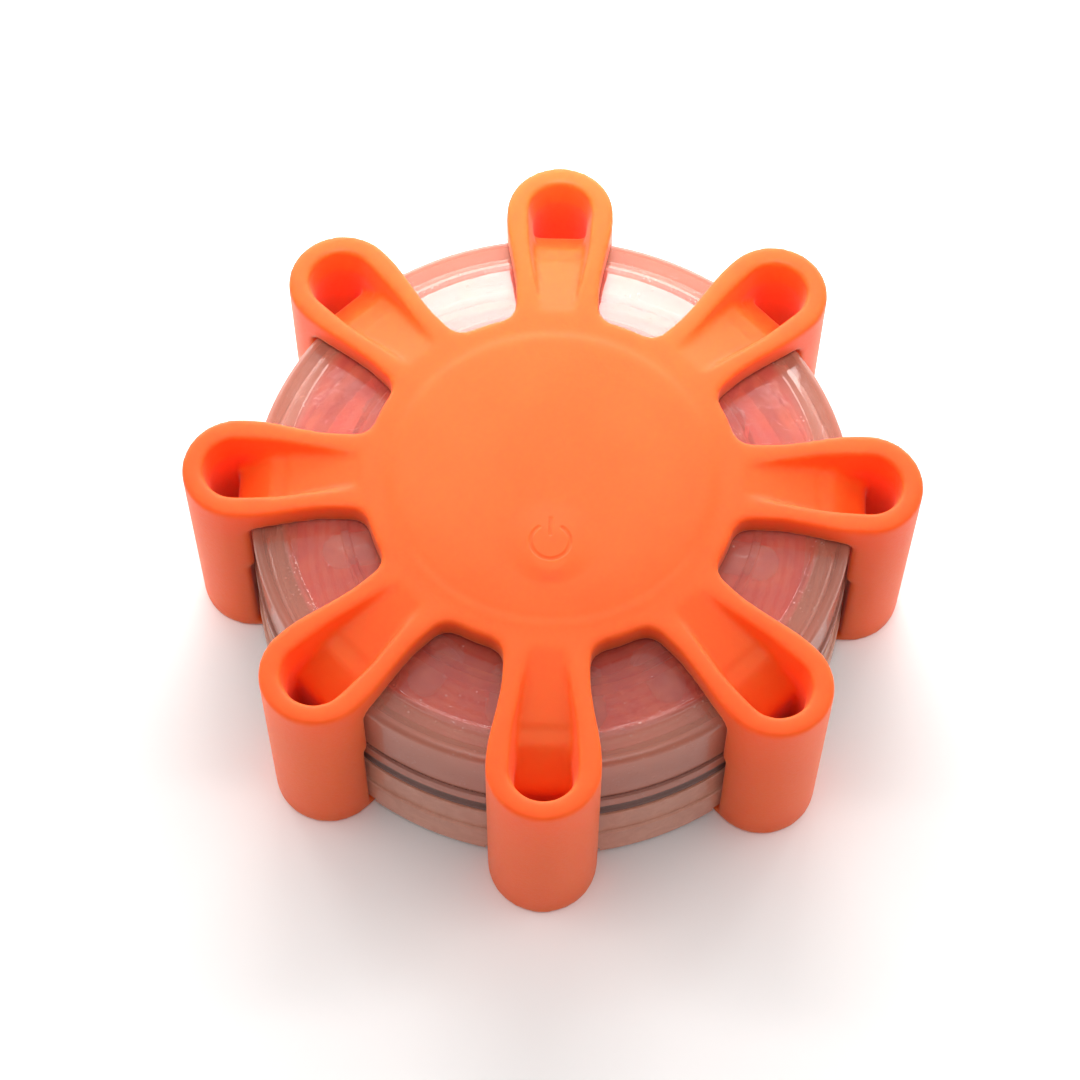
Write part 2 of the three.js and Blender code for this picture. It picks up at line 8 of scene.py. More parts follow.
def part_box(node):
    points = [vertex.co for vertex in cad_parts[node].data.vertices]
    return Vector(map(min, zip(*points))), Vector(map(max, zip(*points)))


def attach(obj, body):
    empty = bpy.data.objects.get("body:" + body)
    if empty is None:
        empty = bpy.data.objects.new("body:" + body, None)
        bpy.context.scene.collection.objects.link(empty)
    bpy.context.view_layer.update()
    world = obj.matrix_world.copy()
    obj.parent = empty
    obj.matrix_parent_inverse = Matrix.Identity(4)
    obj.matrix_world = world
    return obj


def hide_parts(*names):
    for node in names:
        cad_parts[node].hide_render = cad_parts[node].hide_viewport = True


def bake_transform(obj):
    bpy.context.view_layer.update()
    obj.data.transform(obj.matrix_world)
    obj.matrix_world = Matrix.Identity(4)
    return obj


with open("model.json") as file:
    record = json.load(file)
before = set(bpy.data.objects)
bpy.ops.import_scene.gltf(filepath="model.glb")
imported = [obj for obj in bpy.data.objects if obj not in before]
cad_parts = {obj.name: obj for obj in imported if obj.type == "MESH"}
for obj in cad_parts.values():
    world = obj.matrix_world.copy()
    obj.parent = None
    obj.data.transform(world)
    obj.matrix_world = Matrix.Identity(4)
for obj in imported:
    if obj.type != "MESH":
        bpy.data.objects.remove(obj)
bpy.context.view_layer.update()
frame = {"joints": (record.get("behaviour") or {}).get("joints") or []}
MM = 0.001
rad = math.radians

# ------------------------------------------------------------------ sizes (mm): R radius, Z height
def box_mm(node):
    low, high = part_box(node)
    return [v / MM for v in low], [v / MM for v in high]

low, high = box_mm("rubber_bumper")
R_TIP, Z_HUB = high[0], high[2]
low, high = box_mm("power_button")
BUTTON_X, BUTTON_Y = (low[0] + high[0]) / 2, (low[1] + high[1]) / 2
low, high = box_mm("top_lens")
R_FLANGE, Z_FLANGE0, Z_LENS = high[0], low[2], high[2]
low, high = box_mm("base_housing")
R_LIP, Z_BASE, Z_SPIGOT = high[0], low[2], high[2]
low, high = box_mm("seal_ring")
R_SEAL, Z_SEAL = high[0], low[2]
low, high = box_mm("circuit_board")
R_BOARD, Z_BOARD0, Z_BOARD1 = high[0], low[2], high[2]
low, high = box_mm("magnet")
DOOR_Y, R_MAGNET, Z_MAGNET = (low[1] + high[1]) / 2, (high[0] - low[0]) / 2, high[2]
swing = [joint for joint in frame["joints"] if joint["name"] == "hook_swing"][0]
hook_x, hook_y, Z_HOOK = [v / MM for v in swing["pos_m"]]
HOOK_ANGLE, R_PIVOT = math.atan2(hook_y, hook_x), math.hypot(hook_x, hook_y)

# bumper
Z_RIM = Z_HUB - 0.4
R_HUB, R_PLATEAU, R_FILLET = 26.8, 23.4, 3.0
NECK_HALF, ARM_HALF = 6.0, 7.9
ARMS = [rad(45 * i) for i in range(8)]
# lens
R_LENS, LENS_WALL, R_SHOULDER, Z_FLANGE1 = R_FLANGE - 0.4, 1.9, 38.3, Z_FLANGE0 + 2.4
# base
R_BASE, Z_SHELF, Z_LIP = R_LIP - 0.4, Z_SEAL - 0.1, 7.4
R_SPIGOT, R_BASE_IN = 41.3, 39.6
BOSSES = [(34.3 * math.cos(rad(a)), 34.3 * math.sin(rad(a))) for a in (45, 135, 225, 315)]
DOOR_SCREW_X = 30.5
# electrics
LED_ANGLES = [rad(11.25 + 22.5 * i) for i in range(16)]
LED_LENGTH, R_LED_TIP, LED_LEG_Y = 8.6, 33.6, 1.27
Z_LED, Z_MOUNT = Z_BOARD1 + 3.0, Z_BOARD1 + 0.05
CELL_Y = [DOOR_Y + 10.9, DOOR_Y, DOOR_Y - 10.9]
CELL_POLES = (1, -1, 1)                 # which way along X each cell's positive end points
CONTACT_X, Z_CELL = 24.6, 9.25          # faces the cells press on; cell axes

VOXEL, SMOOTH_STEPS = ((0.40, 12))

# ------------------------------------------------------------------ mesh tools
def link(mesh, name="part"):
    part = bpy.data.objects.new(name, mesh)
    bpy.context.scene.collection.objects.link(part)
    return part

def new_part(verts, faces):
    """mesh object with its faces turned outward"""
    mesh = bpy.data.meshes.new("part")
    mesh.from_pydata([tuple(v) for v in verts], [], faces)
    mesh.validate()
    part = link(mesh)
    edit = bmesh.new()
    edit.from_mesh(mesh)
    bmesh.ops.recalc_face_normals(edit, faces=edit.faces)
    if edit.calc_volume(signed=True) < 0:
        bmesh.ops.reverse_faces(edit, faces=edit.faces)
    edit.to_mesh(mesh)
    edit.free()
    return part

def lathe(profile, seg=160, x=0.0, y=0.0, ring=False):
    """body of revolution about +Z from (radius, z) pairs; ring=True closes the profile on itself"""
    verts, rows = [], []
    for r, z in profile:
        if r < 1e-6:
            rows.append([len(verts)])
            verts.append((x, y, z))
            continue
        rows.append(list(range(len(verts), len(verts) + seg)))
        for k in range(seg):
            angle = 2 * math.pi * k / seg
            verts.append((x + r * math.cos(angle), y + r * math.sin(angle), z))
    faces = []
    pairs = list(zip(rows, rows[1:])) + ([(rows[-1], rows[0])] if ring else [])
    for a, b in pairs:
        if len(a) == 1 and len(b) == 1:
            continue
        for k in range(seg):
            n = (k + 1) % seg
            if len(a) == 1:
                faces.append((a[0], b[n], b[k]))
            elif len(b) == 1:
                faces.append((a[k], a[n], b[0]))
            else:
                faces.append((a[k], a[n], b[n], b[k]))
    return new_part(verts, faces)

def prism(points, z0, z1, top=None):
    n = len(points)
    verts = [(x, y, z0) for x, y in points] + [(x, y, z1) for x, y in top or points]
    faces = [tuple(range(n - 1, -1, -1)), tuple(range(n, 2 * n))]
    faces += [(k, (k + 1) % n, n + (k + 1) % n, n + k) for k in range(n)]
    return new_part(verts, faces)

def prism_x(points, x0, x1, y=0):
    """(y, z) outline swept along X"""
    turn = Matrix(((0, 0, 1, 0), (1, 0, 0, y), (0, 1, 0, 0), (0, 0, 0, 1)))
    return xform(prism(points, x0, x1), turn)

def box(x0, y0, z0, x1, y1, z1):
    return prism([(x0, y0), (x1, y0), (x1, y1), (x0, y1)], z0, z1)

def slab(profile, half):
    """(radius, z) outline swept tangentially about the +X direction"""
    n = len(profile)
    verts = [(r, -half, z) for r, z in profile] + [(r, half, z) for r, z in profile]
    faces = [tuple(range(n)), tuple(range(2 * n - 1, n - 1, -1))]
    faces += [(k, n + k, n + (k + 1) % n, (k + 1) % n) for k in range(n)]
    return new_part(verts, faces)

def cyl(radius, z0, z1, x=0, y=0, seg=48):
    return lathe([(0, z0), (radius, z0), (radius, z1), (0, z1)], seg, x, y)

def tube(points, radius, sides):
    """capped round tube along points, turning minimally"""
    points = [Vector(p) for p in points]
    verts, rows = [], []
    across = (points[1] - points[0]).normalized().orthogonal().normalized()
    for i, p in enumerate(points):
        along = (points[min(i + 1, len(points) - 1)] - points[max(i - 1, 0)]).normalized()
        across = (across - along * across.dot(along)).normalized()
        third = along.cross(across)
        rows.append(list(range(len(verts), len(verts) + sides)))
        for k in range(sides):
            angle = 2 * math.pi * k / sides
            verts.append(p + (across * math.cos(angle) + third * math.sin(angle)) * radius)
    return skin_rows(verts, rows)

def skin_rows(verts, rows):
    """closed body from a run of vertex rings"""
    n = len(rows[0])
    faces = [(a[k], a[(k + 1) % n], b[(k + 1) % n], b[k])
             for a, b in zip(rows, rows[1:]) for k in range(n)]
    return new_part(verts, faces + [tuple(reversed(rows[0])), tuple(rows[-1])])

def xform(part, matrix):
    part.data.transform(matrix)
    part.data.update()
    return part

def along_x(part, x, y, z, sign=1):
    """lay a body built up +Z along X, with its origin at (x, y, z)"""
    return xform(part, Matrix.Translation((x, y, z)) @ Matrix.Rotation(rad(90 * sign), 4, "Y"))

def toward_hook(part):
    return xform(part, Matrix.Rotation(HOOK_ANGLE, 4, "Z"))

def spun(part, angle):
    """copy turned about the lamp axis"""
    twin = part.copy()
    twin.data = part.data.copy()
    bpy.context.scene.collection.objects.link(twin)
    return xform(twin, Matrix.Rotation(angle, 4, "Z"))

def drop(*parts):
    for part in parts:
        mesh = part.data
        bpy.data.objects.remove(part, do_unlink=True)
        if mesh.users == 0:
            bpy.data.meshes.remove(mesh)

def joined(parts):
    """(object, material index) pairs as one mesh of several bodies"""
    edit = bmesh.new()
    for part, index in parts:
        n = len(edit.faces)
        edit.from_mesh(part.data)
        edit.faces.ensure_lookup_table()
        for face in edit.faces[n:]:
            face.material_index = index
    mesh = bpy.data.meshes.new("part")
    edit.to_mesh(mesh)
    edit.free()
    result = link(mesh)
    drop(*[part for part, index in parts])
    return result

def at_every_arm(part):
    result = joined([(spun(part, a), 0) for a in ARMS])
    drop(part)
    return result

def modify(part, kind, **settings):
    """add one modifier and apply it"""
    modifier = part.modifiers.new("step", kind)
    for key, value in settings.items():
        setattr(modifier, key, value)
    bpy.context.view_layer.update()
    depsgraph = bpy.context.evaluated_depsgraph_get()
    mesh = bpy.data.meshes.new_from_object(part.evaluated_get(depsgraph))
    old = part.data
    part.modifiers.clear()
    part.data = mesh
    if old.users == 0:
        bpy.data.meshes.remove(old)
    return part

def boolean(part, operation, tools):
    for tool in tools:
        modify(part, "BOOLEAN", solver="EXACT", operation=operation, object=tool)
        drop(tool)
    return part

def cut(part, *tools):
    return boolean(part, "DIFFERENCE", tools)

def add(part, *tools):
    return boolean(part, "UNION", tools)

def bevel(part, width, segments=2, angle=50):
    return modify(part, "BEVEL", width=width, segments=segments, limit_method="ANGLE",
                  angle_limit=rad(angle), use_clamp_overlap=True)

def dress(part, name, materials):
    """final name, materials, metres and smooth shading"""
    part.name = name
    part.data.materials.clear()
    for key in materials:
        part.data.materials.append(MATERIALS[key])
    xform(part, Matrix.Scale(MM, 4))
    part.data.shade_smooth()

def finish(part, name, node, materials, angle, body="housing"):
    """hand a part over in place of a frame node; edges above the angle stay sharp"""
    dress(part, name, materials)
    part.data.set_sharp_from_angle(angle=rad(angle))
    part.modifiers.new("wn", "WEIGHTED_NORMAL").keep_sharp = True
    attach(part, body)
    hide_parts(node)

# ------------------------------------------------------------------ outlines
def arc(x, y, radius, start, end, steps):
    angles = [rad(start + (end - start) * i / steps) for i in range(steps + 1)]
    return [(x + radius * math.cos(a), y + radius * math.sin(a)) for a in angles]

def rounded_rect(half_x, half_y, x, y, radius, steps=10):
    out = []
    for sx, sy, start in ((1, 1, 0), (-1, 1, 90), (-1, -1, 180), (1, -1, 270)):
        out += arc(x + sx * (half_x - radius), y + sy * (half_y - radius), radius,
                   start, start + 90, steps)
    return out

def catmull(keys, steps):
    """Catmull-Rom curve through the keys"""
    out = []
    for i in range(len(keys) - 1):
        around = keys[max(i - 1, 0)], keys[i], keys[i + 1], keys[min(i + 2, len(keys) - 1)]
        for k in range(steps):
            t = k / steps
            out.append(tuple(
                0.5 * (2 * b + (c - a) * t + (2 * a - 5 * b + 4 * c - d) * t * t
                       + (3 * b - a - 3 * c + d) * t ** 3) for a, b, c, d in zip(*around)))
    return out + [keys[-1]]

def turned(x, y, angle):
    return (x * math.cos(angle) - y * math.sin(angle), x * math.sin(angle) + y * math.cos(angle))

def star_outline():
    """the hub with its eight arms, which swell toward round tips"""
    fillet_y = NECK_HALF + R_FILLET
    fillet_x = math.sqrt((R_HUB + R_FILLET) ** 2 - fillet_y ** 2)
    end = math.atan2(fillet_y, fillet_x)
    half = [(R_HUB * math.cos(a), R_HUB * math.sin(a)) for a in (rad(22.5), (rad(22.5) + end) / 2)]
    half += arc(fillet_x, fillet_y, R_FILLET, math.degrees(end) + 180, 270, 10)
    # distance along the arm, half width
    edge = [(fillet_x, NECK_HALF), (32, 6.1), (36, 6.7), (40, 7.5), (43, 7.87),
            (R_TIP - ARM_HALF, ARM_HALF)]
    half += catmull(edge, 5)[1:]
    tip = arc(R_TIP - ARM_HALF, 0, ARM_HALF, -90, 90, 36)[1:-1]
    arm = [(x, -y) for x, y in half] + tip + half[:0:-1]
    return [turned(x, y, a) for a in ARMS for x, y in arm]

def spoon_outline(keys):
    """mirrored (distance, half width) curve closed by a round tip about the last key"""
    side = catmull(keys, 6)
    centre, radius = keys[-1]
    tip = arc(centre, 0, radius, -90, 90, 24)[1:-1]
    return [(x, -y) for x, y in side] + tip + side[::-1]

# sloping flats on the lens shoulder, one under each arm
FLAT_R, FLAT_Z = 39.2, 30.8
FLAT_NORMAL, FLAT_DOWN = (0.657, 0.754), (0.754, -0.657)     # (radius, z) directions

def scallops(offset, half):
    """cutter outside the flats, moved out along their normal"""
    def at(s):
        return (FLAT_R + offset * FLAT_NORMAL[0] + FLAT_DOWN[0] * s,
                FLAT_Z + offset * FLAT_NORMAL[1] + FLAT_DOWN[1] * s)
    top, bottom, far = at(-4), at(9), 60
    return at_every_arm(slab([top, bottom, (far, bottom[1]), (far, top[1])], half))

def lamp_space():
    """the lamp body with a little clearance, taken out of the bumper"""
    space = lathe([
        (0, -1), (40.8, -1), (40.8, 1.6), (R_LIP + 0.3, 1.6), (R_LIP + 0.3, Z_FLANGE1 + 0.3),
        (R_LENS + 0.3, Z_FLANGE1 + 0.6), (R_LENS + 0.35, 29.7), (43.2, 30.35), (42.3, 30.9),
        (40.5, 31.1), (R_SHOULDER, Z_LENS + 0.38), (0, Z_LENS + 0.38)], 192)
    return cut(space, scallops(0.3, 5.7))

# ------------------------------------------------------------------ rubber bumper
# spoon-shaped openings in the arms: (distance along the arm, half width), below and above the step
SPOON_NARROW = [(27.0, 1.3), (31, 2.1), (37.5, 3.3), (40, 3.6), (44.85, 4.1)]
SPOON_WIDE = [(26.4, 2.7), (31, 3.2), (37.5, 4.35), (40, 4.6), (44.85, 4.85)]
Z_SPOON = 31.4
# section of the opening along the arm: (radius, z)
SPOON_SECTION = [
    (26.2, 36.6), (27.3, 35.3), (37.4, 32.75), (37.7, 32.35), (39.3, 32.15), (40.2, 31.9),
    (44.4, 28.2), (45.1, 27.3), (45.2, 26.4), (45.2, 3.6), (51, 3.6), (51, 41), (26.2, 41)]
CROWN, CROWN_REACH = 0.46, 7.2
SYMBOL_R, SYMBOL_GAP, SYMBOL_BAR = 2.75, (54, 126), (1.1, 3.7)   # gap in degrees, bar in y
SYMBOL_DEPTH, SYMBOL_REACH = 0.15, 4.4

def ease(t):
    t = min(1.0, max(0.0, t))
    return t * t * (3 - 2 * t)

def crown_height(r, front):
    """rise of the button above the hub plane, by distance from its centre"""
    inner, outer = 1.0 + 3.4 * front, 7.4 - 0.9 * front
    if r >= outer:
        return 0.0
    return CROWN * (1 - ease((r - inner) / (outer - inner))) + 0.03 * max(0.0, 1 - (r / 3.0) ** 2)

def symbol_depth(x, y):
    """engraved open circle with a bar, in button coordinates"""
    first, last = SYMBOL_GAP
    if first < math.degrees(math.atan2(y, x)) < last:
        distance = min(math.hypot(x - SYMBOL_R * math.cos(rad(a)), y - SYMBOL_R * math.sin(rad(a)))
                       for a in SYMBOL_GAP)
    else:
        distance = abs(math.hypot(x, y) - SYMBOL_R)
    low, high = SYMBOL_BAR
    distance = min(distance, math.hypot(x, y - min(max(y, low), high)))
    return SYMBOL_DEPTH * (1 - ease((distance - 0.10) / 0.30))

def fade_step(place):
    """the step round the hub fades out toward the front"""
    r = math.hypot(place.x, place.y)
    if place.z > Z_RIM - 0.2 and 17 < r < 27.5 and place.y < 0:
        slope, step = ease((r - 17) / 10), ease((r - R_PLATEAU + 1.2) / 1.8)
        place.z += ease((-place.y / r - 0.1) / 0.6) * (Z_HUB - Z_RIM) * (step - slope)

def raise_crown(place):
    x, y = place.x - BUTTON_X, place.y - BUTTON_Y
    r = math.hypot(x, y)
    if place.z > Z_HUB - 0.4 and r < CROWN_REACH:
        front = max(0.0, -y / max(r, 1e-6)) ** 1.5
        engraved = symbol_depth(x, y) if r < SYMBOL_REACH else 0.0
        place.z += crown_height(r, front) - engraved

def shape_button(part):
    """crown and engraving of the button, with a finer mesh there"""
    edit = bmesh.new()
    edit.from_mesh(part.data)
    def near(face, reach):
        x, y, z = face.calc_center_median()
        return z > Z_HUB - 0.4 and math.hypot(x - BUTTON_X, y - BUTTON_Y) < reach
    for reach, cuts in ((7.6, 1), (3.9, 2)):
        edges = {e for face in edit.faces if near(face, reach) for e in face.edges}
        bmesh.ops.subdivide_edges(edit, edges=list(edges), cuts=cuts, use_grid_fill=True)
    for vert in edit.verts:
        fade_step(vert.co)
        raise_crown(vert.co)
    edit.to_mesh(part.data)
    edit.free()

def make_bumper():
    skin = prism(star_outline(), 0, Z_RIM)
    add(skin, lathe([(0, 33), (R_PLATEAU + 0.3, 33), (R_PLATEAU + 0.3, Z_RIM),
                     (R_PLATEAU - 0.9, Z_HUB), (0, Z_HUB)]))
    cut(skin, lamp_space())
    narrow, wide = spoon_outline(SPOON_NARROW), spoon_outline(SPOON_WIDE)
    spoon = prism(narrow, Z_SPOON, Z_RIM, wide)
    add(spoon, prism(narrow, 3, Z_SPOON + 0.01), prism(wide, Z_RIM - 0.01, 42))
    boolean(spoon, "INTERSECT", [slab(SPOON_SECTION, 8)])
    cut(skin, at_every_arm(spoon))
    cut(skin, cyl(9.1, 30, 33.6, BUTTON_X, BUTTON_Y, 96))    # room under the button
    modify(skin, "REMESH", mode="VOXEL", voxel_size=VOXEL, use_smooth_shade=True)
    modify(skin, "SMOOTH", factor=0.55, iterations=SMOOTH_STEPS)
    shape_button(skin)
    dress(skin, "bumper_skin", ["rubber_orange"])
    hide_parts("rubber_bumper")
    BUTTON_Y * MM
    (Z_HUB + 0.02) * MM
    BUTTON_Y * MM
    (Z_HUB + 0.42) * MM
    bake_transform(skin)

# ------------------------------------------------------------------ shader tools
MATERIALS = {}

class Field:
    """shader output that takes part in sums; each operation adds one node"""
    def __init__(self, nodes, socket):
        self.nodes, self.socket = nodes, socket

    def math(self, operation, other=0.0, clamp=False):
        return self.nodes.node("ShaderNodeMath", {0: self, 1: other, 2: 0.0},
                               operation=operation, use_clamp=clamp)

    def __add__(self, other):
        return self.math("ADD", other)

    def __sub__(self, other):
        return self.math("SUBTRACT", other)

    def __mul__(self, other):
        return self.math("MULTIPLY", other)

    def __abs__(self):
        return self.math("ABSOLUTE")

    def ramp(self, start, end, to=(0.0, 1.0)):
        """the range start..end mapped to the range `to`, held beyond its ends"""
        return self.nodes.node("ShaderNodeMapRange", {
            "Value": self, "From Min": start, "From Max": end, "To Min": to[0], "To Max": to[1]})

class Nodes:
    """small node-tree writer"""
    def __init__(self, owner):
        owner.use_nodes = True
        self.tree = owner.node_tree
        self.tree.nodes.clear()

    def outputs(self, kind, names, inputs=None, **settings):
        node = self.tree.nodes.new(kind)
        for key, value in settings.items():
            setattr(node, key, value)
        for key, value in (inputs or {}).items():
            if isinstance(value, Field):
                self.tree.links.new(value.socket, node.inputs[key])
            else:
                node.inputs[key].default_value = value
        return [Field(self, node.outputs[name]) for name in names]

    def node(self, kind, inputs=None, output=0, **settings):
        return self.outputs(kind, [output], inputs, **settings)[0]

class Material(Nodes):
    """surface material; point is the object-space place in millimetres"""
    PRINCIPLED = {
        "base": "Base Color", "rough": "Roughness", "metal": "Metallic", "ior": "IOR",
        "normal": "Normal", "trans": "Transmission Weight", "spec": "Specular IOR Level",
        "coat": "Coat Weight", "coat_rough": "Coat Roughness", "sss": "Subsurface Weight",
        "sss_radius": "Subsurface Radius", "sss_scale": "Subsurface Scale",
        "sheen": "Sheen Weight", "sheen_rough": "Sheen Roughness"}

    def __init__(self, name):
        self.name = name
        self.material = bpy.data.materials.new(name)
        super().__init__(self.material)
        place = self.node("ShaderNodeTexCoord", output="Object")
        self.point = self.stretch(place, (1000.0,) * 3)

    def stretch(self, vector, factors):
        return self.node("ShaderNodeVectorMath", {0: vector, 1: factors}, operation="MULTIPLY")

    def noise(self, scale, detail=3.0, rough=0.5, vector=None, distortion=0.0):
        return self.node("ShaderNodeTexNoise", {
            "Vector": vector or self.point, "Scale": scale, "Detail": detail,
            "Roughness": rough, "Distortion": distortion})

    def cells(self, scale):
        return self.node("ShaderNodeTexVoronoi", {"Vector": self.point, "Scale": scale},
                         "Distance", feature="F1")

    def mix(self, factor, a, b):
        return self.node("ShaderNodeMix", {0: factor, 6: a, 7: b}, 2, data_type="RGBA")

    def xyz(self):
        return self.outputs("ShaderNodeSeparateXYZ", [0, 1, 2], {0: self.point})

    def bump(self, height, strength, depth, normal=None):
        """depth in millimetres"""
        inputs = {"Height": height, "Strength": strength, "Distance": depth * MM}
        if normal:
            inputs["Normal"] = normal
        return self.node("ShaderNodeBump", inputs)

    def principled(self, **values):
        inputs = {self.PRINCIPLED[key]: value for key, value in values.items()}
        return self.node("ShaderNodeBsdfPrincipled", inputs)

    def translucent(self, colour):
        return self.node("ShaderNodeBsdfTranslucent", {"Color": colour})

    def transparent(self, colour):
        return self.node("ShaderNodeBsdfTransparent", {"Color": colour})

    def blend(self, factor, a, b):
        return self.node("ShaderNodeMixShader", {0: factor, 1: a, 2: b})

    def surface(self, shader):
        self.outputs("ShaderNodeOutputMaterial", [], {"Surface": shader})
        MATERIALS[self.name] = self.material

def rgb(r, g, b):
    return (r, g, b, 1.0)

def srgb(*channels):
    """sRGB 0-255 to linear"""
    shares = [c / 255 for c in channels]
    return rgb(*[c / 12.92 if c <= 0.04045 else ((c + 0.055) / 1.055) ** 2.4 for c in shares])

def faded(colour, factor):
    return rgb(*[c * factor for c in colour[:3]])

def distance(x, y):
    """distance from the lamp axis"""
    return (x * x + y * y).math("SQRT")

# ------------------------------------------------------------------ materials
def rubber():
    mat = Material("rubber_orange")
    cloud = mat.noise(scale=0.045, detail=2.0)
    fine = mat.noise(scale=1.7, detail=4.0, rough=0.6)
    grain = mat.noise(scale=6.5, rough=0.65)
    open_sky = mat.node("ShaderNodeAmbientOcclusion", {"Distance": 7.0 * MM}, "AO",
                        samples=4, only_local=True)
    base = mat.mix(cloud.ramp(0.35, 0.65), rgb(0.935, 0.101, 0.007), rgb(0.960, 0.120, 0.012))
    base = mat.mix(fine.ramp(0.3, 0.7, to=(0.0, 0.20)), base, rgb(0.98, 0.140, 0.020))
    # painted shade: where the AO node finds the sky closed in within 7 mm, the colour is mixed up to
    # 12% toward a deeper red, darkening pockets and creases
    base = mat.mix(open_sky.ramp(0.25, 0.95, to=(0.12, 0.0)), base, rgb(0.90, 0.06, 0.008))
    normal = mat.bump(fine, strength=0.10, depth=0.25)
    mat.surface(mat.principled(
        base=base, rough=fine.ramp(0.25, 0.75, to=(0.43, 0.56)), spec=0.25,
        normal=mat.bump(grain, strength=0.10, depth=0.10, normal=normal),
        sheen=0.10, sheen_rough=0.4,
        sss=0.70, sss_radius=(1.0, 0.34, 0.16), sss_scale=5.0 * MM))

def lens_wall(mat, body, share):
    """cloudier side wall, painted shade above the flange step and painted glints"""
    x, y, z = mat.xyz()
    r = distance(x, y)
    edge = r.ramp(38.0, 38.9)
    body = mat.mix(edge, body, srgb(212, 134, 112))
    # painted shade: a dark line on the outer wall just above the flange step, where the step's shadow
    # falls
    flange_corner_shade = z.ramp(19.0, 19.3) * z.ramp(19.4, 20.1, to=(1.0, 0.0)) * r.ramp(42.4, 42.9, to=(0.0, 0.75))
    body = mat.mix(flange_corner_shade, body, rgb(0.10, 0.035, 0.03))
    share = edge.ramp(0.0, 1.0, to=(share, 0.46)) + r.ramp(41.6, 42.8, to=(0.0, 0.22))
    share = share.math("MAXIMUM", flange_corner_shade)
    # painted glints: sparse near-white specks inside the wall and finer ones round the shoulder,
    # standing in for sparkling highlights
    glint = mat.cells(scale=0.55).ramp(0.05, 0.16, to=(0.55, 0.0))
    glint = glint * mat.noise(scale=0.16, detail=2.0).ramp(0.50, 0.58)
    glint = glint * r.ramp(39.6, 40.4, to=(1.0, 0.0))
    shoulder_glints = mat.cells(scale=1.5).ramp(0.12, 0.26, to=(0.8, 0.0))
    shoulder_glints = shoulder_glints * mat.noise(scale=0.30).ramp(0.50, 0.58)
    shoulder_glints = shoulder_glints * (r.ramp(37.3, 38.0) * r.ramp(38.5, 39.6, to=(1.0, 0.12)))
    glint = glint.math("MAXIMUM", shoulder_glints)
    return mat.mix(glint, body, rgb(1.0, 0.86, 0.80)), share.math("MAXIMUM", glint)

def clear_plastic(name, tint, rough, body, body_share, pits, mottle, detail=None):
    """refracts for the camera with a share of cloudy body; lets light through for shadows
    and bounces. pits is their depth, mottle darkens the body's clouds by channel"""
    mat = Material(name)
    shadow, diffuse = mat.outputs("ShaderNodeLightPath", ["Is Shadow Ray", "Is Diffuse Ray"])
    flow = mat.noise(scale=0.35, rough=0.55, distortion=0.6)
    fine = mat.noise(scale=2.6, rough=0.6)
    normal = mat.bump(flow + fine * 0.12, strength=0.35, depth=0.16)
    specks = mat.cells(scale=0.9).ramp(0.0, 0.22, to=(1.0, 0.0))
    normal = mat.bump(specks, strength=0.30, depth=pits, normal=normal)
    glass = mat.principled(
        base=mat.mix(flow.ramp(0.35, 0.65), tint, faded(tint, 0.965)),
        rough=fine.ramp(0.3, 0.7, to=(rough, rough + 0.05)),
        ior=1.24, trans=1.0, normal=normal, coat=1.0, coat_rough=0.03)
    clouds = mat.noise(scale=0.34, rough=0.6, distortion=0.8).ramp(0.38, 0.60)
    cloudy = mat.mix(clouds, body, rgb(*[c * m for c, m in zip(body[:3], mottle)]))
    share = body_share
    if detail:
        cloudy, share = detail(mat, cloudy, share)
    solid = mat.principled(base=cloudy, rough=0.24, normal=normal)
    solid = mat.blend(0.35, solid, mat.translucent(cloudy))
    glass = mat.blend(share, glass, solid)
    through = mat.transparent(faded(tint, 1 - 0.6 * body_share))
    mat.surface(mat.blend(shadow.math("MAXIMUM", diffuse), glass, through))

def plastic(name, first, second, rough, grain, depth, wear=None):
    """two clouded colours with a fine grain; wear lightens patches of the edges"""
    mat = Material(name)
    cloud = mat.noise(scale=0.12, rough=0.55)
    fine = mat.noise(scale=grain, detail=4.0, rough=0.65)
    base = mat.mix(cloud.ramp(0.35, 0.65), first, second)
    if wear:
        pointed = mat.node("ShaderNodeNewGeometry", output="Pointiness").ramp(0.52, 0.60)
        patches = mat.noise(scale=0.8).ramp(0.4, 0.6)
        base = mat.mix(pointed.math("MULTIPLY", patches, clamp=True), base, wear)
    mat.surface(mat.principled(
        base=base, rough=fine.ramp(0.3, 0.7, to=(rough - 0.06, rough + 0.08)), spec=0.5,
        normal=mat.bump(fine, strength=0.5, depth=depth)))

def metal(name, first, second, rough, brushed=None, depth=0.02):
    """plated metal: cloudy colour and fine scratches; brushed squeezes them along each axis"""
    mat = Material(name)
    cloud = mat.noise(scale=0.25, detail=4.0, rough=0.6)
    vector = mat.stretch(mat.point, brushed) if brushed else mat.point
    scratch = mat.noise(scale=3.0, detail=5.0, rough=0.7, vector=vector)
    roughness = scratch.ramp(0.3, 0.7, to=(rough - 0.05, rough + 0.10))
    mat.surface(mat.principled(
        base=mat.mix(cloud.ramp(0.35, 0.65), first, second), metal=1.0,
        rough=roughness + cloud.ramp(0.3, 0.7, to=(0.0, 0.06)),
        normal=mat.bump(scratch, strength=0.35, depth=depth)))

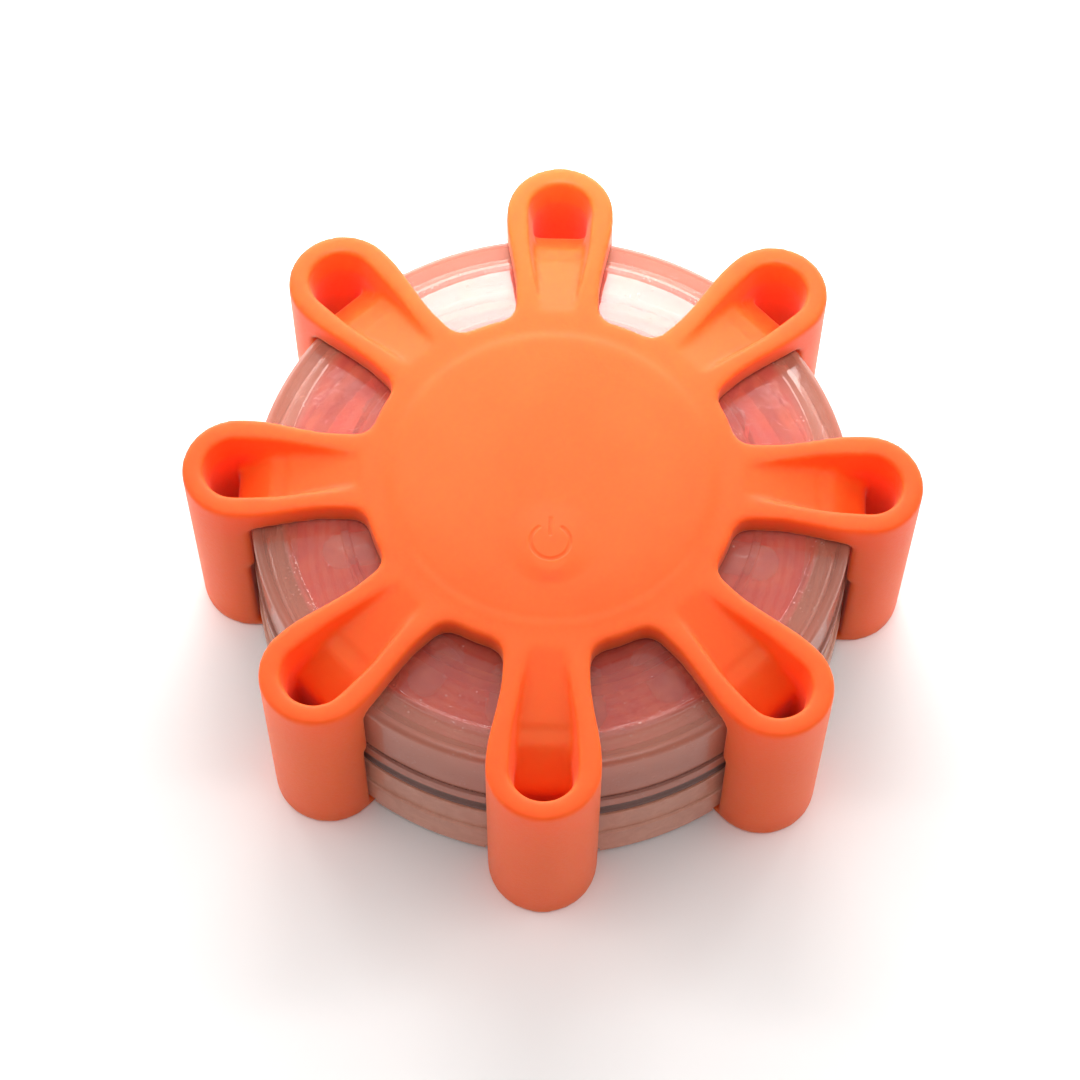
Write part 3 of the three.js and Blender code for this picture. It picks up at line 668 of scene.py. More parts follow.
def cell_jacket():
    """foil jacket with plain colour bands"""
    mat = Material("cell_jacket")
    x, y, z = mat.xyz()
    cloud = mat.noise(scale=0.5)
    fine = mat.noise(scale=5.0, rough=0.6)
    along = abs(x)
    base = mat.mix(cloud.ramp(0.3, 0.7), rgb(0.045, 0.055, 0.075), rgb(0.065, 0.075, 0.10))
    base = mat.mix(along.ramp(14.6, 14.8), base, rgb(0.55, 0.36, 0.12))
    line = along.ramp(13.6, 13.7) * along.ramp(14.2, 14.3, to=(1.0, 0.0))
    base = mat.mix(line, base, rgb(0.75, 0.74, 0.70))
    mat.surface(mat.principled(
        base=base, metal=0.55, rough=fine.ramp(0.3, 0.7, to=(0.22, 0.34)), coat=0.5,
        coat_rough=0.12, normal=mat.bump(fine, strength=0.25, depth=0.03)))

def board_red():
    """woven board with copper under the mask: ring tracks, sixteen radial feeds and a
    brick pattern in the middle; the red of the board is painted light, standing in for the orange
    light that reaches it through the rubber"""
    mat = Material("board_red")
    x, y, z = mat.xyz()
    r = distance(x, y)
    weave = (x * 9.0).math("SINE") * (y * 9.0).math("SINE")
    from_track = abs((r - 20.0).math("PINGPONG", 1.6) - 0.8)
    rings = from_track.ramp(0.42, 0.50, to=(1.0, 0.0))
    tracked = r.ramp(21.0, 21.2) * r.ramp(36.3, 36.5, to=(1.0, 0.0))
    radial = abs((y.math("ARCTAN2", x) * 8.0).math("SINE"))
    feeds = (radial * r).ramp(1.6, 2.0, to=(1.0, 0.0))
    black, white = rgb(0, 0, 0), rgb(1, 1, 1)
    bricks = mat.node("ShaderNodeTexBrick", {
        "Vector": mat.point, "Scale": 0.42, "Mortar Size": 0.045,
        "Color1": black, "Color2": black, "Mortar": white}, "Fac")
    middle = bricks * r.ramp(20.6, 20.8, to=(1.0, 0.0))
    copper = (rings * tracked).math("MAXIMUM", feeds * tracked)
    copper = copper.math("MAXIMUM", middle, clamp=True)
    cloud = mat.noise(scale=0.3)
    # painted light: the red base colour stands in for the orange light that reaches the board through
    # the rubber hub
    base = mat.mix(cloud.ramp(0.3, 0.7), rgb(0.80, 0.130, 0.085), rgb(0.88, 0.165, 0.115))
    mat.surface(mat.principled(
        base=mat.mix(copper * 0.55, base, rgb(0.92, 0.33, 0.25)),
        rough=cloud.ramp(0.3, 0.7, to=(0.28, 0.4)),
        normal=mat.bump(copper + weave * 0.08, strength=0.5, depth=0.06)))

def led_clear():
    mat = Material("led_clear")
    shadow = mat.node("ShaderNodeLightPath", output="Is Shadow Ray")
    flow = mat.noise(scale=1.2)
    normal = mat.bump(flow, strength=0.25, depth=0.05)
    glass = mat.principled(base=rgb(0.97, 0.93, 0.90), rough=flow.ramp(0.3, 0.7, to=(0.03, 0.10)),
                           ior=1.53, trans=1.0, normal=normal)
    body = mat.mix(flow.ramp(0.3, 0.7), rgb(0.98, 0.80, 0.74), rgb(1.0, 0.88, 0.83))
    solid = mat.principled(base=body, rough=0.2, normal=normal)
    solid = mat.blend(0.45, solid, mat.translucent(rgb(0.92, 0.84, 0.80)))
    glass = mat.blend(0.55, glass, solid)
    mat.surface(mat.blend(shadow, glass, mat.transparent(rgb(0.85, 0.8, 0.78))))

def floor_paper():
    mat = Material("floor_paper")
    cloud = mat.noise(scale=0.01, detail=2.0)
    fine = mat.noise(scale=1.2, detail=4.0, rough=0.6)
    base = mat.mix(cloud.ramp(0.3, 0.7), rgb(0.955, 0.955, 0.955), rgb(0.97, 0.97, 0.97))
    paper = mat.principled(base=base, rough=0.7, spec=0.2,
                           normal=mat.bump(fine, strength=0.05, depth=0.05))
    # seen from below, the floor lets the camera and the light through
    camera, passed = mat.outputs("ShaderNodeLightPath", ["Is Camera Ray", "Transparent Depth"])
    behind = mat.node("ShaderNodeNewGeometry", output="Backfacing") * camera
    through = behind.math("MAXIMUM", passed.math("GREATER_THAN", 0.5))
    mat.surface(mat.blend(through, paper, mat.transparent(rgb(1, 1, 1))))

def make_materials():
    rubber()
    # painted light: the clear lens gets a salmon body colour that stands in for the orange light and
    # reflections of the rubber seen in it
    clear_plastic("clear_lens", tint=rgb(0.99, 0.95, 0.93), rough=0.02, body=srgb(255, 124, 98),
                  body_share=0.38, pits=0.15, mottle=(0.84, 0.66, 0.88), detail=lens_wall)
    clear_plastic("tinted_base", tint=rgb(0.96, 0.86, 0.82), rough=0.05, body=srgb(255, 184, 158),
                  body_share=0.74, pits=0.02, mottle=(0.93, 0.90, 0.90))
    plastic("seal_black", rgb(0.125, 0.056, 0.044), rgb(0.150, 0.070, 0.055),
            rough=0.55, grain=3.0, depth=0.03)
    plastic("dark_plastic", rgb(0.018, 0.018, 0.020), rgb(0.028, 0.028, 0.031),
            rough=0.50, grain=3.5, depth=0.07, wear=rgb(0.07, 0.07, 0.075))
    plastic("hook_plastic", rgb(0.020, 0.020, 0.022), rgb(0.030, 0.029, 0.031),
            rough=0.42, grain=2.4, depth=0.05, wear=rgb(0.09, 0.09, 0.09))
    metal("screw_steel", rgb(0.62, 0.62, 0.63), rgb(0.50, 0.51, 0.53),
          rough=0.27, brushed=(1.0, 1.0, 6.0))
    metal("contact_nickel", rgb(0.68, 0.64, 0.56), rgb(0.58, 0.55, 0.49),
          rough=0.22, brushed=(1.0, 6.0, 1.0))
    metal("magnet_nickel", rgb(0.70, 0.69, 0.67), rgb(0.60, 0.60, 0.59),
          rough=0.16, brushed=(3.0, 3.0, 1.0), depth=0.012)
    cell_jacket()
    board_red()
    led_clear()
    plastic("plunger_tan", rgb(0.52, 0.38, 0.20), rgb(0.60, 0.45, 0.25),
            rough=0.42, grain=3.0, depth=0.04)
    plastic("wire_red", rgb(0.50, 0.018, 0.012), rgb(0.58, 0.028, 0.018),
            rough=0.32, grain=2.0, depth=0.03)
    plastic("wire_black", rgb(0.012, 0.012, 0.013), rgb(0.022, 0.021, 0.021),
            rough=0.32, grain=2.0, depth=0.03)
    metal("pad_tin", rgb(0.72, 0.66, 0.58), rgb(0.64, 0.60, 0.55), rough=0.30)
    plastic("chip_ceramic", rgb(0.03, 0.028, 0.03), rgb(0.045, 0.042, 0.042),
            rough=0.45, grain=5.0, depth=0.04)

# ------------------------------------------------------------------ lens, seal, base
def lens_profile():
    """outer profile with moulded corner radii"""
    profile = [(0, Z_FLANGE0), (R_FLANGE - 0.25, Z_FLANGE0)]
    profile += arc(R_FLANGE - 0.15, Z_FLANGE0 + 0.15, 0.15, -70, 0, 3)
    profile += arc(R_FLANGE - 0.25, Z_FLANGE1 - 0.25, 0.25, 0, 80, 4)
    profile += [(R_LENS + 0.04, Z_FLANGE1), (R_LENS, Z_FLANGE1 + 0.06), (R_LENS, 20.2),
                (R_LENS + 0.03, 28.9)]
    profile += arc(R_LENS - 1.07, 29.5, 1.1, 0, 80, 9)
    return profile + [
        (41.0, 30.66), (39.6, 30.72), (39.0, 30.76), (38.72, 30.84), (38.55, 30.95), (38.35, 31.0),
        (38.15, 30.95), (38.0, 30.84), (37.8, 30.8), (37.2, Z_LENS), (0, Z_LENS)]

def make_lens():
    shell = lathe(lens_profile(), 224)
    z_in, r_in = Z_LENS - LENS_WALL, R_LENS - LENS_WALL
    cavity = lathe([(0, 16), (r_in, 16), (r_in, 26.6)] + arc(r_in - 1.6, 27.1, 1.6, 0, 72, 10)
                   + [(39.0, z_in - 0.06), (38.4, z_in), (37.6, z_in), (0, z_in)], 224)
    cut(cavity, scallops(-1.7, 7.6))
    cut(shell, scallops(0.0, 6.0), cavity)
    add(shell, lathe([(29.4, 25.35), (29.55, 25.2), (30.45, 25.2), (30.6, 25.35),
                      (30.6, z_in + 0.3), (29.4, z_in + 0.3)], ring=True))
    for x, y in BOSSES:
        add(shell, cyl(3.2, 18.4, z_in + 0.3, x, y, 40))
    for x, y in BOSSES:
        cut(shell, cyl(1.5, 17, 27.2, x, y, 24))
    cut(shell, cyl(3.0, 26, 33, BUTTON_X, BUTTON_Y, 40))     # button stem
    finish(shell, "lens_shell", "top_lens", ["clear_lens"], 28)

def make_seal():
    """band with two rounded ridges outside"""
    r = R_SEAL - 0.45
    profile = [(41.4, 13.3), (42.75, 13.3)]
    profile += arc(r, 13.75, 0.45, -60, 0, 4) + arc(r, 14.25, 0.45, 0, 40, 3) + [(42.88, 15.0)]
    profile += arc(r, 15.75, 0.45, -40, 0, 3) + arc(r, 16.25, 0.45, 0, 70, 4)
    profile += [(42.6, 16.7), (41.4, 16.7)]
    finish(lathe(profile, 192, ring=True), "seal_band", "seal_ring", ["seal_black"], 50)

def base_profile():
    profile = [(0, Z_BASE), (R_LIP - 0.7, Z_BASE)]
    profile += arc(R_LIP - 0.6, Z_BASE + 0.6, 0.6, -80, 0, 6)
    profile += arc(R_LIP - 0.3, Z_LIP - 0.3, 0.3, 0, 75, 4)
    profile += [(R_BASE + 0.03, Z_LIP), (R_BASE, Z_LIP + 0.05)]
    profile += arc(R_BASE - 0.25, Z_SHELF - 0.25, 0.25, 0, 80, 4)
    return profile + [
        (R_SPIGOT + 0.2, Z_SHELF), (R_SPIGOT, Z_SHELF + 0.1), (R_SPIGOT, Z_SPIGOT - 0.3),
        (R_SPIGOT - 0.3, Z_SPIGOT), (R_BASE_IN + 0.3, Z_SPIGOT), (R_BASE_IN, Z_SPIGOT - 0.3),
        (R_BASE_IN, 3.5), (R_BASE_IN - 0.5, 3.0), (0, 3.0)]

def door_outline(grow, z0, z1):
    """rounded rectangle with a round ear at each end"""
    plate = prism(rounded_rect(28 + grow, 18.8 + grow, 0, DOOR_Y, 3), z0, z1)
    ears = [cyl(4.0 + grow, z0, z1, s * DOOR_SCREW_X, DOOR_Y, 64) for s in (1, -1)]
    return add(plate, *ears)

def pivot_bar(radius, half, seg=24, rounding=0):
    """bar across the hook's pivot, the hook lying along +X"""
    bar = cyl(radius, -half, half, seg=seg)
    if rounding:
        bevel(bar, rounding)
    place = Matrix.Translation((R_PIVOT, 0, Z_HOOK)) @ Matrix.Rotation(rad(90), 4, "X")
    return xform(bar, place)

def make_base():
    base = lathe(base_profile(), 192)
    add(base, prism(rounded_rect(29, 19.8, 0, DOOR_Y, 3), 2, 4.1))
    for s in (1, -1):
        x = s * DOOR_SCREW_X
        add(base, cyl(3.0, 2, 9.2, x, DOOR_Y, 32), cyl(4.9, 2, 4.1, x, DOOR_Y, 48))
    for x, y in BOSSES:
        add(base, cyl(3.2, 2, 16.6, x, y, 32))
    add(base, toward_hook(box(22.2, -9.4, 1, 39.9, 9.4, 4.8)))
    # recess and opening for the door
    cut(base, door_outline(0.3, -0.5, 2.8),
        prism(rounded_rect(24.7, 16.45, 0, DOOR_Y, 1.5), 0, 6))
    for s in (1, -1):
        cut(base, cyl(1.15, 0, 8.6, s * DOOR_SCREW_X, DOOR_Y, 24))
    counterbore = [(0, 0.2), (3.1, 0.2), (2.8, 0.95), (2.8, 3.2), (0, 3.2)]
    for x, y in BOSSES:
        cut(base, cyl(1.5, 0, 18, x, y, 24), lathe(counterbore, 40, x, y))
    # well the hook folds into, and its pin's bore
    well = bevel(box(23.3, -7.2, -2, 46, 7.2, 3.5), 0.8, 3, 60)
    cut(base, toward_hook(well), toward_hook(pivot_bar(0.9, 9.1)))
    # notches under the arms
    cut(base, at_every_arm(box(39.3, -8.3, -1, 50, 8.3, 1.9)))
    finish(base, "base_shell", "base_housing", ["tinted_base"], 28)

# ------------------------------------------------------------------ underside
def phillips(part, x, y, z, radius, depth):
    """tapered cross recess in a head that faces down"""
    width, length = radius * 0.15, radius * 0.60
    for turn in (0, 90):
        mouth, floor = [[(-l, -w), (l, -w), (l, w), (-l, w)] for l, w in
                        ((length, width), (length * 0.45, width * 0.7))]
        slot = prism(mouth, z - 1, z + depth, floor)
        xform(slot, Matrix.Translation((x, y, 0)) @ Matrix.Rotation(rad(turn + 20), 4, "Z"))
        cut(part, slot)

def make_screw(name, node, x, y, r_head, z0, z1, r_shank, z_tip, body):
    """head from z0 to z1 facing down, threaded shank up to z_tip"""
    profile = [
        (0, z0), (r_head * 0.55, z0 + 0.02), (r_head * 0.80, z0 + 0.14),
        (r_head * 0.95, z0 + 0.38), (r_head, z0 + 0.62 * (z1 - z0)), (r_head, z1 - 0.08),
        (r_head - 0.08, z1), (r_shank + 0.1, z1), (r_shank, z1 + 0.15)]
    root, pitch = r_shank - 0.22, 0.55
    z = z1 + 0.6
    while z < z_tip - 1.4:
        profile += [(root, z), (r_shank, z + 0.18), (r_shank, z + 0.24), (root, z + 0.42)]
        z += pitch
    profile += [(r_shank - 0.25, z), (r_shank * 0.45, z_tip - 0.15), (r_shank * 0.2, z_tip),
                (0, z_tip)]
    screw = lathe(profile, 40, x, y)
    phillips(screw, x, y, z0, r_head, (z1 - z0) * 0.6)
    finish(screw, name, node, ["screw_steel"], 30, body)

def make_screws():
    for i, (x, y) in enumerate(BOSSES, 1):
        make_screw(f"case_screw_{i}", f"housing_screw_{i}", x, y, r_head=2.5, z0=1.2, z1=3.1,
                   r_shank=1.2, z_tip=25.5, body="housing")
    for i, s in enumerate((1, -1), 1):
        make_screw(f"lid_screw_{i}", f"door_screw_{i}", s * DOOR_SCREW_X, DOOR_Y, r_head=2.0,
                   z0=0.7, z1=1.65, r_shank=0.85, z_tip=8.2, body="door")

def make_door():
    door = bevel(door_outline(0, Z_BASE, 2.2), 0.28, 3)
    add(door, cyl(R_MAGNET + 1.6, 1.5, 3.4, 0, DOOR_Y, 96))
    for x in (-22, -16, 16, 22):                             # stiffening ribs inside
        add(door, box(x - 0.5, DOOR_Y - 14.5, 2.0, x + 0.5, DOOR_Y + 14.5, 2.9))
    cut(door, cyl(R_MAGNET + 0.2, -1, 2.4, 0, DOOR_Y, 96))
    countersink = [(0, -0.2), (2.95, -0.2), (2.3, 0.95), (2.3, 1.7), (0, 1.7)]
    for s in (1, -1):
        x = s * DOOR_SCREW_X
        cut(door, cyl(1.25, -1, 5, x, DOOR_Y, 32), lathe(countersink, 40, x, DOOR_Y))
    for i in range(7):                                       # shallow grip grooves near one edge
        x = -6.6 + 2.2 * i
        groove = box(x - 0.35, DOOR_Y - 16.8, 0, x + 0.35, DOOR_Y - 12.4, 0.85)
        cut(door, bevel(groove, 0.2, angle=35))
    finish(door, "door_panel", "battery_door", ["dark_plastic"], 30, "door")

def make_gasket():
    outer = rounded_rect(27.5, 18.3, 0, DOOR_Y, 2.6, 12)
    inner = rounded_rect(25.2, 16.9, 0, DOOR_Y, 1.8, 12)
    # share of the way from the outer to the inner outline, z
    section = [(0.0, 2.25), (0.0, 2.62), (0.12, 2.75), (0.38, 2.70), (0.62, 2.70), (0.88, 2.75),
               (1.0, 2.62), (1.0, 2.25)]
    n, m = len(outer), len(section)
    verts = [(a[0] * (1 - s) + b[0] * s, a[1] * (1 - s) + b[1] * s, z)
             for s, z in section for a, b in zip(outer, inner)]
    faces = []
    for i in range(m):
        row, above = i * n, (i + 1) % m * n
        faces += [(row + k, row + (k + 1) % n, above + (k + 1) % n, above + k) for k in range(n)]
    finish(new_part(verts, faces), "gasket_frame", "door_gasket", ["seal_black"], 40, "door")

def make_magnet():
    profile = [(0, 0.0), (R_MAGNET - 0.45, 0.0)] + arc(R_MAGNET - 0.4, 0.4, 0.4, -85, 0, 6)
    profile += arc(R_MAGNET - 0.35, Z_MAGNET - 0.35, 0.35, 0, 85, 5) + [(0, Z_MAGNET)]
    finish(lathe(profile, 96, 0, DOOR_Y), "magnet_disc", "magnet", ["magnet_nickel"], 40, "door")

HOOK_X, HOOK_R, HOOK_HALF = 29.9, 4.8, 1.1      # bow centre, bow radius, half thickness

def hook_bow():
    """open bow of squarish section, its ends rounded off"""
    verts, rows, steps, sides = [], [], 56, 16
    for i in range(steps + 1):
        angle = rad(-62 + 258 * i / steps)
        end = min(i, steps - i) / 3.0
        size = 1.0 if end >= 1 else math.sqrt(max(0.05, 1 - (1 - end) ** 2))
        rows.append(list(range(len(verts), len(verts) + sides)))
        for k in range(sides):
            turn = 2 * math.pi * k / sides
            out, up = math.cos(turn), math.sin(turn)
            square = (abs(out) ** 4 + abs(up) ** 4) ** -0.25
            r = HOOK_R + HOOK_HALF * size * out * square
            verts.append((HOOK_X + r * math.cos(angle), r * math.sin(angle),
                          Z_HOOK + HOOK_HALF * size * up * square * 0.995))
    return skin_rows(verts, rows)

def make_hook():
    hook = hook_bow()
    root = HOOK_X + 4.3
    shank = prism([(root, -2.6), (34.8, -3.2), (R_PIVOT, -3.2), (R_PIVOT, 3.2), (34.8, 3.2),
                   (root, 2.6)], Z_HOOK - HOOK_HALF, Z_HOOK + HOOK_HALF)
    add(hook, bevel(shank, 0.35, 3), pivot_bar(1.3, 6.6, 40, rounding=0.2))
    cut(hook, pivot_bar(0.95, 8))
    finish(toward_hook(hook), "hook_arm", "hanging_hook", ["hook_plastic"], 35, "hook")
    pin = toward_hook(pivot_bar(0.6, 8.8, rounding=0.12))
    finish(pin, "pivot_pin", "hook_pin", ["screw_steel"], 35)

# ------------------------------------------------------------------ board and its parts
def solder(x, y, r, height, shoulder=()):
    profile = [(0, -0.02), (r, -0.02), (r, 0.015), *shoulder, (0, height)]
    return lathe([(s, Z_BOARD1 + z) for s, z in profile], 18, x, y)

def make_board():
    disc = lathe([(0, Z_BOARD0), (R_BOARD - 0.1, Z_BOARD0), (R_BOARD, Z_BOARD0 + 0.1),
                  (R_BOARD, Z_BOARD1 - 0.1), (R_BOARD - 0.1, Z_BOARD1), (0, Z_BOARD1)])
    for x, y in BOSSES:
        cut(disc, cyl(1.5, 16, 19, x, y, 32))
    parts = [(disc, 0)]
    rng = random.Random(7)
    for a in LED_ANGLES:                                     # solder fillets at the LED legs
        for side in (-LED_LEG_Y, LED_LEG_Y):
            x, y = turned(24.05, side, a)
            r = 0.62 + 0.05 * rng.random()
            parts.append((solder(x, y, r, 0.045, [(r * 0.72, 0.03)]), 1))
    for x, y in ((-11.4, 5), (-6.6, 5), (-4.6, -14), (-4.6, -8), (4.6, -14), (4.6, -8)):
        parts.append((solder(x, y, 0.6, 0.04), 1))
    finish(joined(parts), "board_disc.001", "circuit_board", ["board_red", "pad_tin"], 35)

# LED parts: (radius, distance from the back of the body)
LED_BODY = [(0, 0), (2.75, 0), (2.85, 0.1), (2.85, 0.9), (2.75, 1.0), (2.55, 1.03), (2.5, 1.12),
            (2.5, 3.6), (2.5, 6.0)] + arc(0, 6.1, 2.5, 6, 90, 7)[:-1] + [(0, LED_LENGTH)]
LED_CUP = [(0, 2.0), (0.35, 2.0), (0.45, 3.2), (1.0, 4.0), (1.0, 4.15), (0.4, 3.6), (0, 3.6)]
LED_POST = [(0, 1.6), (0.28, 1.6), (0.28, 3.9), (0, 4.0)]

def make_leds():
    """lamps lying on the board, pointing outward"""
    x0 = R_LED_TIP - LED_LENGTH
    parts = [(along_x(lathe(LED_BODY, 36), x0, 0, Z_LED), 0)]
    for y in (-LED_LEG_Y, LED_LEG_Y):
        parts.append((tube([
            (x0 + 0.4, y, Z_LED), (x0 - 0.55, y, Z_LED), (x0 - 0.85, y, Z_LED - 0.12),
            (x0 - 0.95, y, Z_LED - 0.45), (x0 - 0.95, y, Z_MOUNT)], 0.24, 4), 1))
    parts.append((along_x(lathe(LED_CUP, 20), x0, 0, Z_LED), 1))
    parts.append((along_x(lathe(LED_POST, 10, 1.1, 0), x0, 0, Z_LED), 1))
    pattern = joined(parts)
    for i, a in enumerate(LED_ANGLES, 1):
        finish(spun(pattern, a), f"lamp_{i:02d}", f"side_led_{i:02d}",
               ["led_clear", "contact_nickel"], 40)
    drop(pattern)

def make_switch():
    """moulded body, pressed steel cover and a pip near each corner"""
    x, y = BUTTON_X, BUTTON_Y
    body = bevel(box(x - 3, y - 3, Z_MOUNT, x + 3, y + 3, 21.15), 0.18)
    cut(body, cyl(2.0, 18.9, 23, x, y, 40))
    cover = bevel(box(x - 2.85, y - 2.85, 21.18, x + 2.85, y + 2.85, 21.4), 0.08)
    cut(cover, cyl(2.0, 20, 23, x, y, 40))
    pips = [(cyl(0.45, 21.35, 21.40, x + sx * 2.3, y + sy * 2.3, 16), 0)
            for sx in (-1, 1) for sy in (-1, 1)]
    finish(joined([(body, 0), (cover, 1)] + pips), "switch_case", "switch_body",
           ["dark_plastic", "screw_steel"], 35)
    plunger = [(0, 19.8), (1.7, 19.8), (1.7, 22.0), (1.6, 22.2), (1.4, 22.3), (0, 22.3)]
    finish(lathe(plunger, 40, x, y), "switch_pin", "switch_plunger", ["plunger_tan"], 40, "button")
    stem = [(0, 22.4), (2.2, 22.4), (2.5, 22.7), (2.5, 31.8), (2.9, 32.2), (8.5, 32.2),
            (8.7, 32.4), (8.7, 33.1), (8.5, 33.3), (0, 33.3)]
    finish(lathe(stem, 72, x, y), "button_stem", "power_button", ["rubber_orange"], 40, "button")

def make_controller():
    """chip body with gull-wing legs"""
    parts = [(bevel(box(5.6, 3.25, Z_MOUNT + 0.1, 10.4, 6.75, Z_BOARD1 + 1.6), 0.15), 0)]
    # distance out from the leg's root, height above the mounting plane
    leg = [(-0.1, 0.75), (0.08, 0.75), (0.16, 0.5), (0.18, 0.14), (0.29, 0.12)]
    for i in range(4):
        x = 6.1 + 1.27 * i * 0.98
        for s in (-1, 1):
            y = 5.0 + s * 1.7
            parts.append((tube([(x, y + s * out, Z_MOUNT + z) for out, z in leg], 0.12, 6), 1))
    finish(joined(parts), "controller_body", "controller_chip", ["chip_ceramic", "screw_steel"],
           40)

def make_capacitor():
    """electrolytic can on its moulded foot"""
    z0, z1 = Z_MOUNT, Z_BOARD1 + 5.3
    can = lathe([
        (0, z0 + 0.5), (2.4, z0 + 0.5), (2.5, z0 + 0.6), (2.5, z0 + 1.0), (2.3, z0 + 1.25),
        (2.3, z0 + 1.35), (2.5, z0 + 1.6), (2.5, z1 - 0.25), (2.3, z1), (1.95, z1),
        (1.9, z1 - 0.07), (0, z1 - 0.07)], 56, -9, 5)
    foot = bevel(box(-11.4, 2.6, z0, -6.6, 7.4, z0 + 0.45), 0.2)
    finish(joined([(can, 0), (foot, 1)]), "capacitor_can", "capacitor",
           ["screw_steel", "dark_plastic"], 35)

def make_resistors():
    z0, z1 = Z_MOUNT, Z_MOUNT + 0.55
    for i, y in enumerate((7.0, 10.0), 1):
        chip = bevel(box(-2.2, y - 0.78, z0 + 0.03, 0.2, y + 0.78, z1), 0.06)
        caps = [(bevel(box(x0, y - 0.8, z0, x1, y + 0.8, z1), 0.08), 1)
                for x0, x1 in ((-2.6, -2.22), (0.22, 0.6))]
        finish(joined([(chip, 0)] + caps), f"resistor_chip_{i}", f"resistor_{i}",
               ["chip_ceramic", "pad_tin"], 40)

# ------------------------------------------------------------------ battery
def make_cells():
    """each cell is turned up from z = -length, its positive tip at z = 0"""
    end, r = -43.6, 5.2
    for i, pole in enumerate(CELL_POLES):
        can = lathe([
            (0, end - 0.85), (4.2, end - 0.85), (4.6, end - 0.6), (4.8, end - 0.55),
            (r - 0.3, end - 0.9), (r - 0.05, end - 0.75), (r, end - 0.5), (r, -1.4),
            (r - 0.1, -1.1), (r - 0.4, -0.95), (3.9, -1.0), (3.9, -1.15), (0, -1.15)], 56)
        tip = lathe([(0, -1.1), (3.2, -1.1), (3.2, -0.98), (2.1, -0.92), (1.95, -0.8),
                     (1.9, -0.2), (1.75, -0.04), (1.5, 0), (0, 0)], 40)
        cap = lathe([(0, end - 0.9), (3.9, end - 0.9), (4.0, end - 0.86), (0, end - 0.84)], 40)
        cell = joined([(can, 0), (tip, 1), (cap, 1)])
        along_x(cell, pole * (CONTACT_X - 0.05), CELL_Y[i], Z_CELL, pole)
        finish(cell, f"cell_{i + 1}", f"battery_cell_{i + 1}", ["cell_jacket", "contact_nickel"], 40)

def make_springs():
    """a tapering coil at each cell's negative end"""
    for i, pole in enumerate(CELL_POLES):
        points = []
        for k in range(105):
            t = k / 104
            a, r = t * 3.25 * 2 * math.pi, 3.3 - 1.0 * t
            points.append((-pole * (CONTACT_X - 0.45 - 3.6 * t),
                           CELL_Y[i] + r * math.cos(a), Z_CELL + r * math.sin(a)))
        finish(tube(points, 0.35, 12), f"spring_coil_{i + 1}", f"contact_spring_{i + 1}",
               ["contact_nickel"], 60)

def make_plates():
    # name, side along X, indices of the lowest-y and the highest-y cell it touches
    for name, side, first, last in (("positive", 1, 0, 0), ("negative", -1, 2, 2),
                                    ("bridge_left", -1, 1, 0), ("bridge_right", 1, 2, 1)):
        y0, y1 = CELL_Y[first] - 3.6, CELL_Y[last] + 3.6
        outline = rounded_rect((y1 - y0) / 2, 4.2, (y0 + y1) / 2, 9.2, 0.8, 6)
        plate = prism_x(outline, *sorted((side * CONTACT_X, side * 25.0)))
        for y in CELL_Y[last:first + 1]:
            cut(plate, along_x(cyl(1.1, -0.12, 0.12, seg=32), side * 24.62, y, Z_CELL))
        if first == last:                                    # tab for the wire
            x0, x1 = sorted((side * 24.8, side * 27.6))
            add(plate, box(x0, CELL_Y[first] - 1.0, 12.8, x1, CELL_Y[first] + 1.0, 13.2))
        bevel(plate, 0.08)
        finish(plate, "plate_" + name, "contact_" + name, ["contact_nickel"], 40)

def make_holder():
    """tray with cradle ribs and end slots"""
    tray = prism(rounded_rect(26.5, 17.8, 0, DOOR_Y, 1.0, 6), 4.4, 15.9)
    cut(tray, prism(rounded_rect(25.3, 16.6, 0, DOOR_Y, 0.5, 4), 3, 14.8))
    for y in (DOOR_Y - 5.45, DOOR_Y + 5.45):
        for x in (-12, 12):
            rib = [(-1.5, 15.0), (-0.5, 12.7), (0.5, 12.7), (1.5, 15.0)]
            add(tray, prism_x(rib, x - 1.5, x + 1.5, y))
    for x0, x1, y in ((25, 28, CELL_Y[0]), (-28, -25, CELL_Y[2])):
        cut(tray, box(x0, y - 1.4, 12.4, x1, y + 1.4, 13.6))
    bevel(tray, 0.2)
    finish(tray, "holder_tray", "battery_holder", ["dark_plastic"], 35)

def make_wires():
    # distance from the middle along X, offset in y, z
    path = [(27.8, 0, 13.95), (28.6, 0.2, 14.6), (29.6, 0.6, 15.1), (30.6, 1.4, 15.6),
            (31.0, 2.4, 16.0)]
    for name, colour, side, y in (("wire_plus", "red", 1, CELL_Y[0]),
                                  ("wire_minus", "black", -1, CELL_Y[2])):
        points = catmull([(side * x, y + dy, z) for x, dy, z in path], 8)
        finish(tube(points, 0.55, 16), name, "lead_" + colour, ["wire_" + colour], 50)

# ------------------------------------------------------------------ floor, light, camera
WARM_WHITE = (1.0, 0.985, 0.96)
KEY_POWER = 0.72
WORLD_FRONT, WORLD_BACK = 0.25, 1.20    # sky strength behind the camera and behind the lamp

def make_floor():
    edit = bmesh.new()
    bmesh.ops.create_grid(edit, x_segments=24, y_segments=24, size=8.0)
    mesh = bpy.data.meshes.new("floor")
    edit.to_mesh(mesh)
    edit.free()
    floor = link(mesh, "floor")
    floor_paper()
    mesh.materials.append(MATERIALS["floor_paper"])
    floor.location.z = -0.06 * MM

